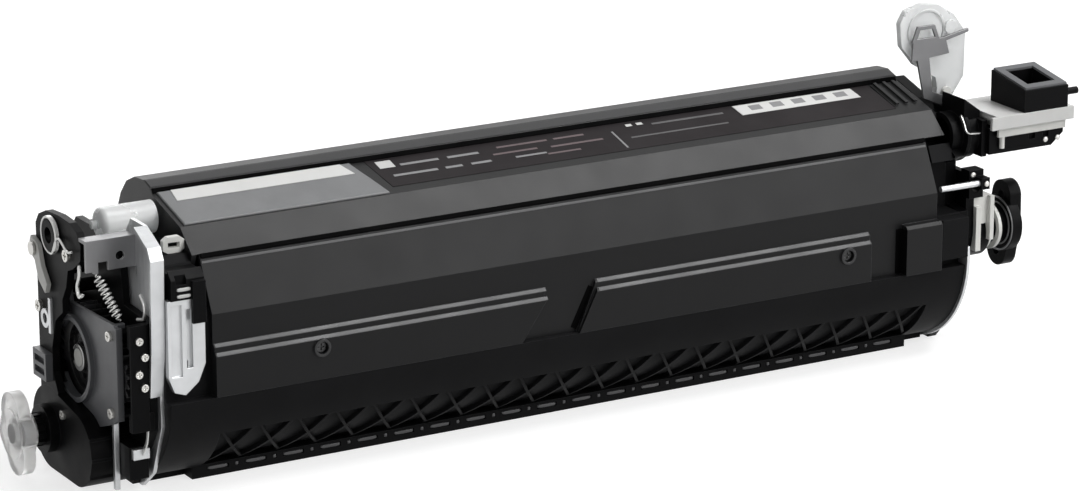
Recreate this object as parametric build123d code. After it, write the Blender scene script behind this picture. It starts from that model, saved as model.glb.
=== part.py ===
from build123d import *
import math
import os

# Developer and toner unit of an office printer: a long black housing with a magnetic roller and two
# mixing augers inside, a gear train on the left end and a toner inlet on the right end.
# X runs along the length towards the inlet, -Y is the front, Z = 0 is the flat underside.

os.makedirs("parts", exist_ok=True)

# Driving dimensions, millimetres
cover_half = 165.0          # half the width of the front cover
left_block = 19.0           # end block of the housing, left of the front cover
right_block = 13.0          # end block of the housing, right of the front cover
wall = 2.5                  # moulded wall of the housing
skin = 2.0                  # moulded wall of the covers
seam = 0.2                  # gap left between mouldings that are pushed together
run_gap = 0.06              # radial clearance of a shaft in its bush
air = 0.6                   # clearance around parts that turn or slide

# Housing section, in the plane across the length
bulge_y, bulge_z, bulge_r = -3.0, 43.0, 42.0    # rounded front of the trough
cover_foot_z = 40.0         # height of the step that the front cover stands on
wall_y = -40.0              # outer face of the front wall, behind the cover
rim_z = 74.0                # top edge of the trough
rear_wall_y = 20.5          # outer face of the rear wall
lip_y = 25.5                # rearmost face of the lips above and below the roller
sole_front_y = -14.0        # front edge of the flat underside
blade_z = 27.8              # underside of the doctor blade

# Shafts
roller_y, roller_z, roller_r = 18.5, 16.5, 10.0
rear_y = 5.0                # rear auger
front_rise = 1.3            # the front auger lies this much higher than the rear one
auger_r = 10.5
shaft_r = 3.5
journal_r = 4.0
bush_wall = 2.0
bush_flange = 1.5
core_r = 8.0
core_shaft_r = 2.6

# Gears
gear_module = 1.25
roller_teeth, rear_teeth, front_teeth, idler_teeth = 22, 32, 16, 16
gear_width = 7.0
backlash = 0.28
idler_z = 14.5

# Covers
ridge_y, ridge_z = -42.0, 72.0      # crease of the front cover
groove_y, groove_z = -32.0, 92.5    # joint between the front cover and the top cover
brow_y, brow_z = -22.0, 101.5       # front edge of the top face
step_y, step_z = 3.0, 108.2         # rear edge of the label face
crown_y, crown_z = 10.0, 112.0      # highest line of the top cover
back_y, back_z = 36.0, 88.0         # lower rear edge of the top cover
field_in, field_run0, field_run1 = 5.0, 6.0, 25.4       # dark label, set into the label face
field_deep, label_t = 0.5, 0.3
top_over_left, top_over_right = 3.0, 10.0       # how far the roof reaches past the front cover
pad_over = 34.0                     # from the end of the right pad to the end of the front cover
block_pad_w, block_pad_t = 17.5, 4.5            # the small third pad at the right end
pad_top_z = 61.0                    # top of the third pad, which runs on over the end block
pad_step, pad_edge = 1.5, 1.2       # thickness of each of the two ledges of a pad, and its slanted top edge
pad_upper_z, pad_lower_z = 60.4, 57.2           # tops of the two ledges
end_recess_y = -29.0                # the right end block is cut back to here above the third pad
boss_in_left, boss_in_right = 44.3, 45.7        # from the cover's ends to its two screw bosses
boss_z = 52.7
pad_gap_left, pad_gap_right = -21.0, 1.5        # upper corners of the pads beside the middle gap

# Truss and rail under the bulge
truss_pitch = 16.2
truss_up, truss_rise = 5.0, 18.0        # foot of the truss above the bulge's lowest line, and its height
rib_t = 1.1
truss_depth = 2.5
rail_front_y = -21.0
rail_h = 5.5
dash_l, dash_h = 9.0, 1.6
pip = 1.6

# Left end
plate_t = 1.5               # steel end plate
flange_w = 4.0
carrier_t = 3.0             # moulded gear carrier
side_gap = 1.5              # from the gears' faces to the carrier and to the panel
panel_t = 1.5
panel_front_y = -31.0       # front edge of the gear panel
upright_gap, upright_t = 3.0, 3.0
upright_back_y = 26.0       # rear edge of the outer plate
drum_wall, drum_boss = 1.2, 4.0
post_r = 2.6
guard_y, guard_t = -38.0, 1.2           # front wall of the carrier, before the front gear
guard_screws = ((3.4, 65.0), (3.0, 52.0), (5.5, 58.5), (5.2, 46.5))     # along X from the gears, and up
coupling_gap, coupling_w, coupling_r = 10.0, 6.5, 16.2
plug_y, plug_z, plug_r = 0.0, 100.5, 6.4        # plug of the filling port, on top of the end block
plug_out, plug_in = 6.5, 16.0
latch_y, latch_z, latch_r = 23.5, 87.5, 1.6

# Right end
end_t = 4.0
strip_t, strip_out = 1.2, 1.4
neck_y, neck_z, neck_r, neck_bore = -25.0, 91.5, 9.0, 6.8
deck_z = 101.0
neck_l = 8.8
rail_over = 1.0             # the rail ends this far past the chute
rail_nose, rail_nose_h = 6.0, 5.0       # slanted lower end of the rail
rail_y0, rail_y1 = -40.0, -13.4
rail_z0, rail_z1 = 84.0, 95.0
shutter_t = 2.0
shutter_travel = 14.0
tray_z, tray_t = 98.4, 2.4
tray_over = 2.0             # the tray reaches this far past the rail at both ends
tray_y0, tray_y1 = -44.5, -13.4
tray_lip = 3.0
chute_in, chute_l = 14.5, 22.0
chute_y0, chute_y1 = -44.0, -20.0
chute_back_z, chute_front_z = 114.0, 110.2
chute_wall = 4.0
seal_t = 1.0
hub_r = 8.0
barrel_l, barrel_wall = 13.0, 3.6       # bearing barrel of the front auger
collar_t = 1.6
ear_r, ear_reach = 6.5, 12.5
ear_out, ear_w = 24.8, 6.5
rod_y0, rod_z0, rod_r = -41.4, 73.0, 1.3
flag_y0, flag_y1 = -12.4, -9.4      # faces of the white lever
flag_pin_in, flag_pin_z, flag_pin_r = 3.5, 105.6, 2.0

# Places that follow from the dimensions above
tub_left = cover_half + left_block
tub_right = cover_half + right_block
top_left = cover_half + top_over_left
top_right = cover_half + top_over_right
field_x0, field_x1 = -0.37 * cover_half, cover_half - field_in
truss_count = int(2 * cover_half / truss_pitch)
plate_x = -tub_left - plate_t
carrier_x = plate_x - carrier_t
gear_end = carrier_x - side_gap
gear_x = gear_end - gear_width
panel_x = gear_x - side_gap - panel_t
upright_x = panel_x - upright_gap - upright_t
drum_x = upright_x
coupling_x = drum_x - coupling_gap - coupling_w
strip_x0, strip_x1 = gear_x - 0.6, gear_x + 1.4
plug_x0, plug_x1 = plate_x - plug_out, plate_x + plug_in
spring_x0, spring_x1 = panel_x - 1.5, panel_x + 3.5
truss_low = bulge_z - bulge_r + truss_up
truss_high = truss_low + truss_rise
mesh_rear = gear_module * (roller_teeth + rear_teeth) / 2
rear_z = roller_z + math.sqrt(mesh_rear ** 2 - (roller_y - rear_y) ** 2)
mesh_front = gear_module * (rear_teeth + front_teeth) / 2
front_z = rear_z + front_rise
front_y = rear_y - math.sqrt(mesh_front ** 2 - front_rise ** 2)
mesh_idler = gear_module * (roller_teeth + idler_teeth) / 2
idler_y = roller_y - math.sqrt(mesh_idler ** 2 - (roller_z - idler_z) ** 2)
drum_r = roller_z
lobe_r = idler_z
right_plate_x = tub_right + strip_t
right_face = right_plate_x + end_t
neck_end = right_face + neck_l
rail_x0, rail_x1 = neck_end, neck_end + chute_in + chute_l + rail_over
tray_x0, tray_x1 = rail_x0 - tray_over, rail_x1 + tray_over
chute_x0, chute_x1 = rail_x0 + chute_in, rail_x0 + chute_in + chute_l
ear_x0, ear_x1 = right_face + ear_out, right_face + ear_out + ear_w
flag_pin_x = neck_end - flag_pin_in
panel_posts = ((panel_front_y + 4.0, 65.0), (panel_front_y + 4.0, 34.5), (14.0, 73.0))
upright_posts = ((upright_back_y - post_r, 64.5), (upright_back_y - 4.0, 78.0), (-4.0, 91.4))
boss_places = ((-cover_half + boss_in_left, boss_z), (cover_half - boss_in_right, boss_z))
top_rise = math.degrees(math.atan2(step_z - brow_z, step_y - brow_y))


def block(x0, x1, y0, y1, z0, z1):
    """A box between two corners."""
    return Pos((x0 + x1) / 2, (y0 + y1) / 2, (z0 + z1) / 2) * Box(x1 - x0, y1 - y0, z1 - z0)


def rod_x(x0, x1, y, z, r):
    """A round bar along X."""
    return Pos((x0 + x1) / 2, y, z) * Rot(0, 90, 0) * Cylinder(r, x1 - x0)


def rod_y(y0, y1, x, z, r):
    """A round bar along Y."""
    return Pos(x, (y0 + y1) / 2, z) * Rot(90, 0, 0) * Cylinder(r, y1 - y0)


def rod_z(z0, z1, x, y, r):
    """A round bar along Z."""
    return Pos(x, y, (z0 + z1) / 2) * Cylinder(r, z1 - z0)


def tube_x(x0, x1, y, z, r, hole):
    """A round tube along X."""
    return rod_x(x0, x1, y, z, r) - rod_x(x0 - 1, x1 + 1, y, z, hole)


def slab_x(x0, x1, points):
    """A flat outline of (y, z) points, carried along X."""
    return Pos(x0, 0, 0) * extrude(Plane.YZ * make_face(Polyline(*points, close=True)), x1 - x0)


def slab_y(y0, y1, points):
    """A flat outline of (x, z) points, carried along Y."""
    plane = Plane(origin=(0, y0, 0), x_dir=(1, 0, 0), z_dir=(0, -1, 0))
    return extrude(plane * make_face(Polyline(*points, close=True)), -(y1 - y0))


def slab_z(z0, z1, points):
    """A flat outline of (x, y) points, carried along Z."""
    return Pos(0, 0, z0) * extrude(make_face(Polyline(*points, close=True)), z1 - z0)


def hull_x(x0, x1, y_a, z_a, r_a, y_b, z_b, r_b):
    """Two discs and the strap drawn tight round them, carried along X."""
    gap = math.hypot(y_b - y_a, z_b - z_a)
    along = math.atan2(z_b - z_a, y_b - y_a)
    lean = math.acos((r_a - r_b) / gap)
    corners = []
    for y, z, r, turn in ((y_a, z_a, r_a, lean), (y_b, z_b, r_b, lean),
                          (y_b, z_b, r_b, -lean), (y_a, z_a, r_a, -lean)):
        corners.append((y + r * math.cos(along + turn), z + r * math.sin(along + turn)))
    return slab_x(x0, x1, corners) + rod_x(x0, x1, y_a, z_a, r_a) + rod_x(x0, x1, y_b, z_b, r_b)


def top_frame(x, run, lift=0.0):
    """A plane on the sloping label face, run millimetres behind its front edge, X along the part."""
    slope = math.radians(top_rise)
    y = brow_y + run * math.cos(slope) - lift * math.sin(slope)
    z = brow_z + run * math.sin(slope) + lift * math.cos(slope)
    return Plane(origin=(x, y, z), x_dir=(1, 0, 0), z_dir=(0, -math.sin(slope), math.cos(slope)))


def screw(head_r, head_t, x, y, z, direction):
    """A pan head with a cross slot, its seat at the given place."""
    head = Cylinder(head_r, head_t, align=(Align.CENTER, Align.CENTER, Align.MIN))
    slot = Box(head_r * 1.3, head_r * 0.3, head_t * 0.5, align=(Align.CENTER, Align.CENTER, Align.MAX))
    head -= Pos(0, 0, head_t) * slot
    head -= Pos(0, 0, head_t) * Rot(0, 0, 90) * slot
    return Plane(origin=(x, y, z), z_dir=direction) * head


# Gears

def tooth_outline(teeth, phase):
    """Corners of an involute gear's outline round its own centre, with a tooth at the phase angle."""
    pitch_r = gear_module * teeth / 2
    pressure = math.radians(20)
    base_r = pitch_r * math.cos(pressure)
    tip_r = pitch_r + 0.9 * gear_module
    root_r = pitch_r - 1.2 * gear_module
    half = (math.pi * gear_module / 2 - backlash) / 2 / pitch_r

    def lag(r):
        cosine = min(1.0, base_r / r)
        angle = math.acos(cosine)
        return math.tan(angle) - angle

    levels = [root_r, max(base_r, root_r + 0.1), pitch_r, tip_r]
    flank = [(r, half + lag(pitch_r) - lag(max(r, base_r))) for r in levels]
    corners = []
    for number in range(teeth):
        centre = math.radians(phase) + 2 * math.pi * number / teeth
        for r, turn in flank:
            corners.append((r * math.cos(centre - turn), r * math.sin(centre - turn)))
        for r, turn in reversed(flank):
            corners.append((r * math.cos(centre + turn), r * math.sin(centre + turn)))
    return corners


def meshed_phase(phase_a, teeth_a, teeth_b, direction):
    """Tooth angle of gear b that fits gear a, when b lies from a in the given direction."""
    offset = phase_a - direction
    return direction + 180 - offset * teeth_a / teeth_b + 180 / teeth_b


def gear(teeth, phase, y, z, bore, dish_r=0.0, hub_out=0.0):
    """A spur gear on a shaft along X, with a dished web and a hub where there is room for them."""
    body = slab_x(gear_x, gear_end, [(y + a, z + b) for a, b in tooth_outline(teeth, phase)])
    if dish_r:
        dish = tube_x(gear_x, gear_x + gear_width * 0.3, y, z, dish_r, bore + 3)
        body -= dish
        for number in range(6):
            turn = math.radians(60 * number)
            away = (dish_r + bore + 3) / 2
            body -= rod_x(gear_x, gear_end, y + away * math.cos(turn), z + away * math.sin(turn), dish_r * 0.16)
    if hub_out:
        body += rod_x(gear_x - hub_out, gear_x, y, z, bore + 2)
    return body - rod_x(gear_x - hub_out - 1, gear_end + 1, y, z, bore)


def direction_of(y_a, z_a, y_b, z_b):
    """Angle in degrees from one shaft to another, seen along X."""
    return math.degrees(math.atan2(z_b - z_a, y_b - y_a))


roller_phase = direction_of(roller_y, roller_z, rear_y, rear_z)
rear_phase = meshed_phase(roller_phase, roller_teeth, rear_teeth, roller_phase)
front_phase = meshed_phase(rear_phase, rear_teeth, front_teeth, direction_of(rear_y, rear_z, front_y, front_z))
idler_phase = meshed_phase(roller_phase, roller_teeth, idler_teeth,
                           direction_of(roller_y, roller_z, idler_y, idler_z))


# Housing

def bulge_at(z):
    """Y of the rounded front at a height."""
    return bulge_y - math.sqrt(bulge_r ** 2 - (z - bulge_z) ** 2)


def fold_y(z):
    """Y of the front cover's inner face at a height above its crease."""
    low = (ridge_y + skin, ridge_z - skin * 0.25)
    high = (groove_y + skin * 0.9, groove_z - skin * 0.45)
    return low[0] + (high[0] - low[0]) * (z - low[1]) / (high[1] - low[1])


def tub_section():
    """Outline of the trough across its length."""
    foot = (sole_front_y, bulge_z - math.sqrt(bulge_r ** 2 - (sole_front_y - bulge_y) ** 2))
    brow = (bulge_at(cover_foot_z), cover_foot_z)
    middle_z = (foot[1] + brow[1]) / 2
    path = Polyline((sole_front_y, 0), (lip_y, 0), (lip_y, blade_z + 6), (rear_wall_y, blade_z + 12),
                    (rear_wall_y, rim_z), (fold_y(rim_z), rim_z), (wall_y, ridge_z - skin * 0.25),
                    (wall_y, cover_foot_z), brow)
    curve = ThreePointArc(brow, (bulge_at(middle_z), middle_z), foot)
    return make_face(path + curve + Line(foot, (sole_front_y, 0)))


def chamber(y, z):
    """Trough of one auger, open upwards to the rim."""
    r = auger_r + air
    return rod_x(-cover_half, cover_half, y, z, r) + block(-cover_half, cover_half, y - r, y + r, z, rim_z + 1)


def cap_points(front_z):
    """Outline inside the covers, from the rim up, at the ends of the housing."""
    return [(fold_y(rim_z), rim_z), (groove_y + 1.2, groove_z - skin), (brow_y + 1.0, brow_z - skin),
            (step_y, step_z - skin - 0.2), (crown_y, crown_z - skin - 0.4), (back_y - 12, front_z),
            (back_y - skin, back_z), (back_y - skin, rim_z)]


def truss_ribs():
    """Crossed ribs that stand in the recess between the bulge and the bottom rail."""
    middle_z = (truss_low + truss_high) / 2
    middle = (bulge_at(middle_z), middle_z)
    normal = (0, (middle[0] - bulge_y) / bulge_r, (middle[1] - bulge_z) / bulge_r)
    reach = math.hypot(bulge_at(truss_low) - bulge_at(truss_high), truss_high - truss_low)
    lean = math.degrees(math.atan2(reach, truss_pitch))
    length = math.hypot(reach, truss_pitch) + 2 * rib_t
    bars = []
    for number in range(truss_count):
        x = (number - (truss_count - 1) / 2) * truss_pitch
        plane = Plane(origin=(x, *middle), x_dir=(1, 0, 0), z_dir=normal)
        for side in (lean, -lean):
            bars.append(plane * Rot(0, 0, side) * Box(length, rib_t, 4 * truss_depth))
    half = truss_count * truss_pitch / 2
    ring = tube_x(-half, half, bulge_y, bulge_z, bulge_r - 0.6, bulge_r - truss_depth - 0.3)
    ring &= block(-half, half, bulge_y - bulge_r, sole_front_y, truss_low, truss_high)
    return [piece for bar in bars for piece in (bar & ring).solids()]


def lower_housing():
    """Trough with two auger chambers, the roller's cavity, end blocks, truss and bottom rail."""
    tub = Pos(-tub_left, 0, 0) * extrude(Plane.YZ * tub_section(), tub_left + tub_right)
    tub -= chamber(front_y, front_z)
    tub -= chamber(rear_y, rear_z)
    tub -= rod_x(-cover_half, cover_half, roller_y, roller_z, roller_r + 1.5)
    tub -= block(-cover_half, cover_half, roller_y, lip_y + 1, roller_z, blade_z + plate_t)
    tub -= block(-cover_half, cover_half, roller_y - 12, roller_y - 3, roller_z + 6, rear_z - 6)
    half = truss_count * truss_pitch / 2
    recess = tube_x(-half, half, bulge_y, bulge_z, bulge_r + 1, bulge_r - truss_depth)
    recess &= block(-half, half, bulge_y - bulge_r - 2, sole_front_y, truss_low, truss_high)
    tub -= recess
    tub += truss_ribs()
    tub += block(-cover_half, cover_half, rail_front_y, sole_front_y + 1, 0, rail_h)
    for number in range(truss_count):
        x = (number - (truss_count - 1) / 2) * truss_pitch
        tub -= block(x - dash_l / 2, x + dash_l / 2, rail_front_y - 1, rail_front_y + 1.2,
                     rail_h * 0.45, rail_h * 0.45 + dash_h)
        if number:
            dot = x - truss_pitch / 2
            tub -= block(dot - pip / 2, dot + pip / 2, rail_front_y - 1, rail_front_y + 1.2,
                         rail_h * 0.45, rail_h * 0.45 + pip)
    for x0, x1, top in ((-tub_left, -top_left - seam, 93.0), (top_right + seam - 8, tub_right, 104.0)):
        cap = slab_x(x0, x1, cap_points(104.0))
        tub += cap & block(x0, x1, wall_y, back_y, rim_z, top)
    tub -= block(cover_half + seam, tub_right + 1, wall_y - 3, end_recess_y, pad_top_z + 0.5, neck_z - neck_r)
    tub += block(cover_half + seam, tub_right, ridge_y - block_pad_t, wall_y + 1, cover_foot_z + 4.0, pad_top_z)
    tub -= rod_x(tub_right - 13, tub_right + 1, neck_y, neck_z, neck_bore)
    tub -= rod_x(-tub_left - 1, -tub_left + 13, plug_y, plug_z, plug_r + seam)
    for y, z in ((front_y, front_z), (rear_y, rear_z)):
        tub -= rod_x(-tub_left - 1, tub_right + 1, y, z, shaft_r + run_gap + bush_wall)
    tub -= rod_x(-tub_left - 1, tub_right + 1, roller_y, roller_z, journal_r + run_gap + bush_wall)
    return tub


def ledge(y0, y1, outline):
    """A pad that stands on the front cover, with a slanted top edge; y0 is its front face."""
    pad = slab_y(y0, y1, outline)
    upper = pad.edges().filter_by(Axis.X).sort_by(Axis.Z)[-2:]
    return chamfer(upper.sort_by(Axis.Y)[0], pad_edge)


def front_cover():
    """Folded front panel with two ledged pads, a small third pad and two screw bosses."""
    outer = [(ridge_y, cover_foot_z), (ridge_y, ridge_z), (groove_y - 0.7, groove_z - 1.4), (groove_y + 0.6, groove_z)]
    inner = [(groove_y + skin * 0.9, groove_z - skin * 0.45), (ridge_y + skin, ridge_z - skin * 0.25),
             (ridge_y + skin, cover_foot_z)]
    cover = slab_x(-cover_half, cover_half, outer + inner)
    left_end, left_foot = pad_gap_left, pad_gap_left - 12.0
    right_start, right_foot = pad_gap_right, pad_gap_right - 8.5
    right_end = cover_half - pad_over
    for depth, top in ((pad_step, pad_upper_z), (2 * pad_step, pad_lower_z)):
        for outline in ([(-cover_half, cover_foot_z), (left_foot, cover_foot_z), (left_end, top),
                         (-cover_half, top)],
                        [(right_foot, cover_foot_z), (right_end, cover_foot_z), (right_end, top),
                         (right_start, top)]):
            cover += ledge(ridge_y - depth, ridge_y, outline)
    cover += ledge(ridge_y - block_pad_t, ridge_y,
                   [(cover_half - block_pad_w, cover_foot_z), (cover_half, cover_foot_z),
                    (cover_half, pad_top_z), (cover_half - block_pad_w, pad_top_z)])
    for x, z in boss_places:
        cover += rod_y(ridge_y - 2 * pad_step - 0.8, ridge_y - 1, x, z, 3.6)
        cover -= rod_y(ridge_y - 2 * pad_step - 1, ridge_y - 1, x, z, 2.4)
    return cover


def cover_screws():
    """Screws sunk in the two bosses of the front cover."""
    return [screw(2.1, 1.4, x, ridge_y - 1.0, z, (0, -1, 0)) for x, z in boss_places]


def top_cover():
    """Roof shell with a sloping label face, a raised crown, end walls and a rounded back."""
    outer = [(groove_y + 0.2, groove_z + 0.4), (brow_y, brow_z), (step_y, step_z), (step_y + 1.2, step_z + 1.9),
             (crown_y, crown_z), (18.0, 111.4), (25.5, 108.0), (31.0, 102.0), (34.8, 94.5), (back_y, back_z)]
    inner = [(back_y - skin, back_z), (32.8, 94.1), (29.3, 101.0), (24.2, 106.5), (17.4, 109.4),
             (crown_y, crown_z - skin), (step_y + 2.2, step_z), (step_y, step_z - skin),
             (brow_y + 0.8, brow_z - skin), (groove_y + skin, groove_z - 0.5)]
    roof = slab_x(-top_left, top_right, outer + inner)
    roof += slab_x(-top_left, -top_left + skin, outer + [(back_y, rim_z + 8), (groove_y + 4, rim_z + 8)])
    middle, length = (field_x0 + field_x1) / 2, field_x1 - field_x0 + 2
    roof -= extrude(top_frame(middle, 0) * (Pos(0, (field_run0 + field_run1) / 2) * Rectangle(
        length, field_run1 - field_run0 + 0.6)), -field_deep)
    for number in range(3):
        roof += top_frame(field_x1 + 3.0 + 4.5 * number, 16.5) * Box(1.4, 18, 1.8)
    roof -= slab_x(-top_left + 3, top_right - 3, [(groove_y - 1, groove_z + 1.6), (groove_y + 2.0, groove_z + 2.6),
                                                  (groove_y + 1.3, groove_z + 3.4), (groove_y - 1, groove_z + 3.0)])
    return roof


def grey_plate():
    """Raised plate at the left of the label face, its right end cut at a slant."""
    plane = top_frame(0, 0)
    outline = [(-top_left + 2, 0.4), (-66.0, 0.4), (-84.0, 25.2), (-top_left + 2, 25.2)]
    return extrude(plane * make_face(Polyline(*outline, close=True)), 0.9)


def strip_label(x0, x1, run0, run1, lift, thickness):
    """A flat label on the sloping face."""
    return extrude(top_frame((x0 + x1) / 2, 0, lift) * (Pos(0, (run0 + run1) / 2) * Rectangle(x1 - x0, run1 - run0)),
                   thickness)


def rear_cover():
    """Back wall between the roof and the doctor blade, stiffened by upright ribs."""
    outer = [(back_y - skin, back_z), (back_y, back_z - 0.2), (back_y, 44.0), (lip_y + 5, blade_z + 7.0),
             (lip_y, blade_z + 7.0)]
    inner = [(lip_y, blade_z + 9.0), (lip_y + 4, blade_z + 9.0), (back_y - skin, 45.0)]
    cover = slab_x(-cover_half, cover_half, outer + inner)
    count = 15
    for number in range(count):
        x = (number - (count - 1) / 2) * (2 * cover_half - 12) / (count - 1)
        cover += block(x - 0.8, x + 0.8, back_y - 0.1, back_y + 1.6, 48.0, 84.0)
    cover += block(-cover_half, cover_half, back_y - 0.1, back_y + 1.6, 84.0, 86.0)
    return cover


def inner_lid():
    """Flat lid over the two auger chambers, with the toner's way in at its right end."""
    lid = block(-cover_half, cover_half, fold_y(rim_z + skin) + seam, rear_wall_y, rim_z, rim_z + skin)
    lid -= block(-cover_half + 8, cover_half - 30, -9.0, -6.0, rim_z + 1.2, rim_z + skin + 1)
    return lid - block(cover_half - 24, cover_half - 6, front_y - 8, front_y + 8, rim_z - 1, rim_z + skin + 1)


def doctor_blade():
    """Steel strip that levels the toner on the roller."""
    return block(-cover_half + 3, cover_half - 3, roller_y, lip_y + 5, blade_z, blade_z + plate_t)


def blade_bar():
    """Folded stiffener that clamps the blade under the upper lip."""
    foot = block(-cover_half + 3, cover_half - 3, lip_y, lip_y + 5, blade_z + plate_t, blade_z + 3.0)
    return foot + block(-cover_half + 3, cover_half - 3, lip_y + 3.5, lip_y + 5, blade_z + plate_t, blade_z + 6.6)


def blade_screws():
    """Row of screws under the blade."""
    step = (cover_half - 15.0) / 2
    return [screw(2.2, 1.2, number * step, lip_y + 2.4, blade_z, (0, 0, -1)) for number in range(-2, 3)]


def end_seals():
    """Felt arcs round the roller's two ends."""
    seals = []
    for side in (-1, 1):
        x0, x1 = sorted((side * (cover_half - 4.6), side * (cover_half - 0.6)))
        ring = tube_x(x0, x1, roller_y, roller_z, roller_r + 1.5, roller_r + 0.35)
        seals.append(ring & block(x0, x1, roller_y - 20, roller_y, roller_z - 20, roller_z + 8))
    return seals


# Roller and augers

def roller_sleeve():
    """Hollow sleeve with a blind drive shaft on the left and a hollow journal on the right."""
    inner_r = core_r + air
    half = cover_half - 5.0
    sleeve = rod_x(-half, half, roller_y, roller_z, roller_r)
    sleeve -= rod_x(-half + 3, half - 3, roller_y, roller_z, inner_r)
    sleeve += rod_x(-half - 1, -half + 1, roller_y, roller_z, journal_r + 1.5)
    sleeve += rod_x(coupling_x + 1.0, -half, roller_y, roller_z, journal_r)
    sleeve += rod_x(half, tub_right, roller_y, roller_z, journal_r)
    sleeve -= rod_x(half - 4, tub_right + 1, roller_y, roller_z, core_shaft_r + run_gap)
    return sleeve - rod_x(-half - 8, -half + 4, roller_y, roller_z, core_shaft_r + run_gap)


def magnet_core():
    """Fixed magnet inside the sleeve, held by its shaft in the right end plate."""
    half = cover_half - 5.0 - 3.0 - air
    core = rod_x(-half, half, roller_y, roller_z, core_r)
    core += rod_x(-half - 8, -half, roller_y, roller_z, core_shaft_r)
    return core + rod_x(half, right_face + 3.0, roller_y, roller_z, core_shaft_r)


def auger(y, z, left, right, turn):
    """Shaft with tilted half-disc paddles, as moulded screws for mixing have them."""
    tilt = 34.0
    pitch = 20.0
    half = cover_half - 3.0
    count = int(2 * half // pitch)
    shaft = rod_x(left, right, y, z, shaft_r)
    paddles = []
    disc = extrude(Ellipse(auger_r / math.cos(math.radians(tilt)), auger_r), 0.8, both=True)
    disc -= Cylinder(shaft_r * 0.6, 10)
    for number in range(count):
        x = (number - (count - 1) / 2) * pitch
        for side in (1, -1):
            blade = disc & Pos(0, side * auger_r, 0) * Box(4 * auger_r, 2 * auger_r, 4 * auger_r)
            place = Pos(x, y, z) * Rot(0, 90, 0) * Rot(0, side * turn * tilt, 0)
            paddles.append(place * blade)
    return shaft + paddles


def bush(x0, x1, y, z, hole):
    """Plain bearing with a flange on its outer end; x1 is the flange end."""
    step = bush_flange if x1 > x0 else -bush_flange
    a0, a1 = sorted((x0, x1))
    f0, f1 = sorted((x1, x1 + step))
    body = rod_x(a0, a1, y, z, hole + run_gap + bush_wall - 0.02)
    body += rod_x(f0, f1, y, z, hole + run_gap + bush_wall + 1.2)
    return body - rod_x(a0 - 5, a1 + 5, y, z, hole + run_gap)


def left_bushes():
    """Three bushes in the left end of the housing."""
    face = plate_x
    return [bush(face + 8, face, y, z, r) for y, z, r in
            ((front_y, front_z, shaft_r), (rear_y, rear_z, shaft_r), (roller_y, roller_z, journal_r))]


def right_bushes():
    """Three bushes in the right end of the housing, set in from inside."""
    inner = cover_half
    return [bush(inner + 8, inner, y, z, r) for y, z, r in
            ((front_y, front_z, shaft_r), (rear_y, rear_z, shaft_r), (roller_y, roller_z, journal_r))]


# Left end

plate_outline = [(-16.0, 106.0), (-27.5, 106.0), (-39.0, 100.5), (-41.5, 96.0), (-40.5, 61.0), (-38.5, 42.0),
                 (-39.0, 30.0), (-30.0, 9.0), (-20.0, 1.0), (34.0, 1.0), (34.0, 60.0), (30.0, 88.0),
                 (12.0, 93.0), (-9.0, 93.0), (-12.0, 101.0)]


def shaft_holes(x0, x1, extra):
    """Round holes for the three shafts through a plate."""
    places = ((front_y, front_z, shaft_r), (rear_y, rear_z, shaft_r), (roller_y, roller_z, journal_r))
    return [rod_x(x0, x1, y, z, r + extra) for y, z, r in places]


def left_end_plate():
    """Steel end plate with a flange turned out along its front edge."""
    plate = slab_x(plate_x, -tub_left, plate_outline)
    for hole in shaft_holes(plate_x - 1, -tub_left + 1, run_gap + bush_wall):
        plate -= hole
    for (y0, z0), (y1, z1) in zip(plate_outline[1:5], plate_outline[2:6]):
        length = math.hypot(y1 - y0, z1 - z0)
        inward = ((z1 - z0) / length * plate_t, -(y1 - y0) / length * plate_t)
        inward = (-inward[0], -inward[1])
        plate += slab_x(plate_x - flange_w, plate_x, [(y0, z0), (y1, z1), (y1 + inward[0], z1 + inward[1]),
                                                     (y0 + inward[0], z0 + inward[1])])
    return plate


def gear_carrier():
    """Moulded carrier on the steel plate, with posts for the outer covers and the idler's stub."""
    carrier = slab_x(carrier_x, plate_x, [(-36.0, 71.0), (-36.0, 28.0), (-20.0, 5.0), (-18.0, 1.5), (34.0, 1.5),
                                          (34.0, 88.0), (28.0, 96.0), (-6.0, 96.0), (-12.0, 88.0), (-14.0, 72.0)])
    for hole in shaft_holes(carrier_x - 1, plate_x + 1, run_gap + bush_wall + 1.6):
        carrier -= hole
    for places, end in ((panel_posts, panel_x + panel_t), (upright_posts, upright_x + upright_t)):
        for y, z in places:
            carrier += rod_x(end, carrier_x, y, z, post_r)
    carrier += rod_x(gear_x - 1.5, carrier_x, idler_y, idler_z, 2.5)
    carrier += block(gear_x, plate_x - flange_w - seam, guard_y, guard_y + guard_t, 29.0, 71.0)
    for z0, z1 in ((29.0, 36.0), (62.0, 71.0)):
        carrier += block(gear_x, carrier_x + 1, guard_y + guard_t - 0.3, guard_y + guard_t + 1.6, z0, z1)
    carrier += block(strip_x1 + seam, carrier_x + 1, -31.0, -21.0, 8.0, 21.0)
    return carrier - rod_x(carrier_x - 1, plate_x + 1, plug_y, plug_z, plug_r + seam)


def drum_outline(x0, x1, grow):
    """Space of the lower gear cover, grown or shrunk by a wall."""
    return hull_x(x0, x1, roller_y, roller_z, drum_r + grow, idler_y, idler_z, lobe_r + grow)


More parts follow.
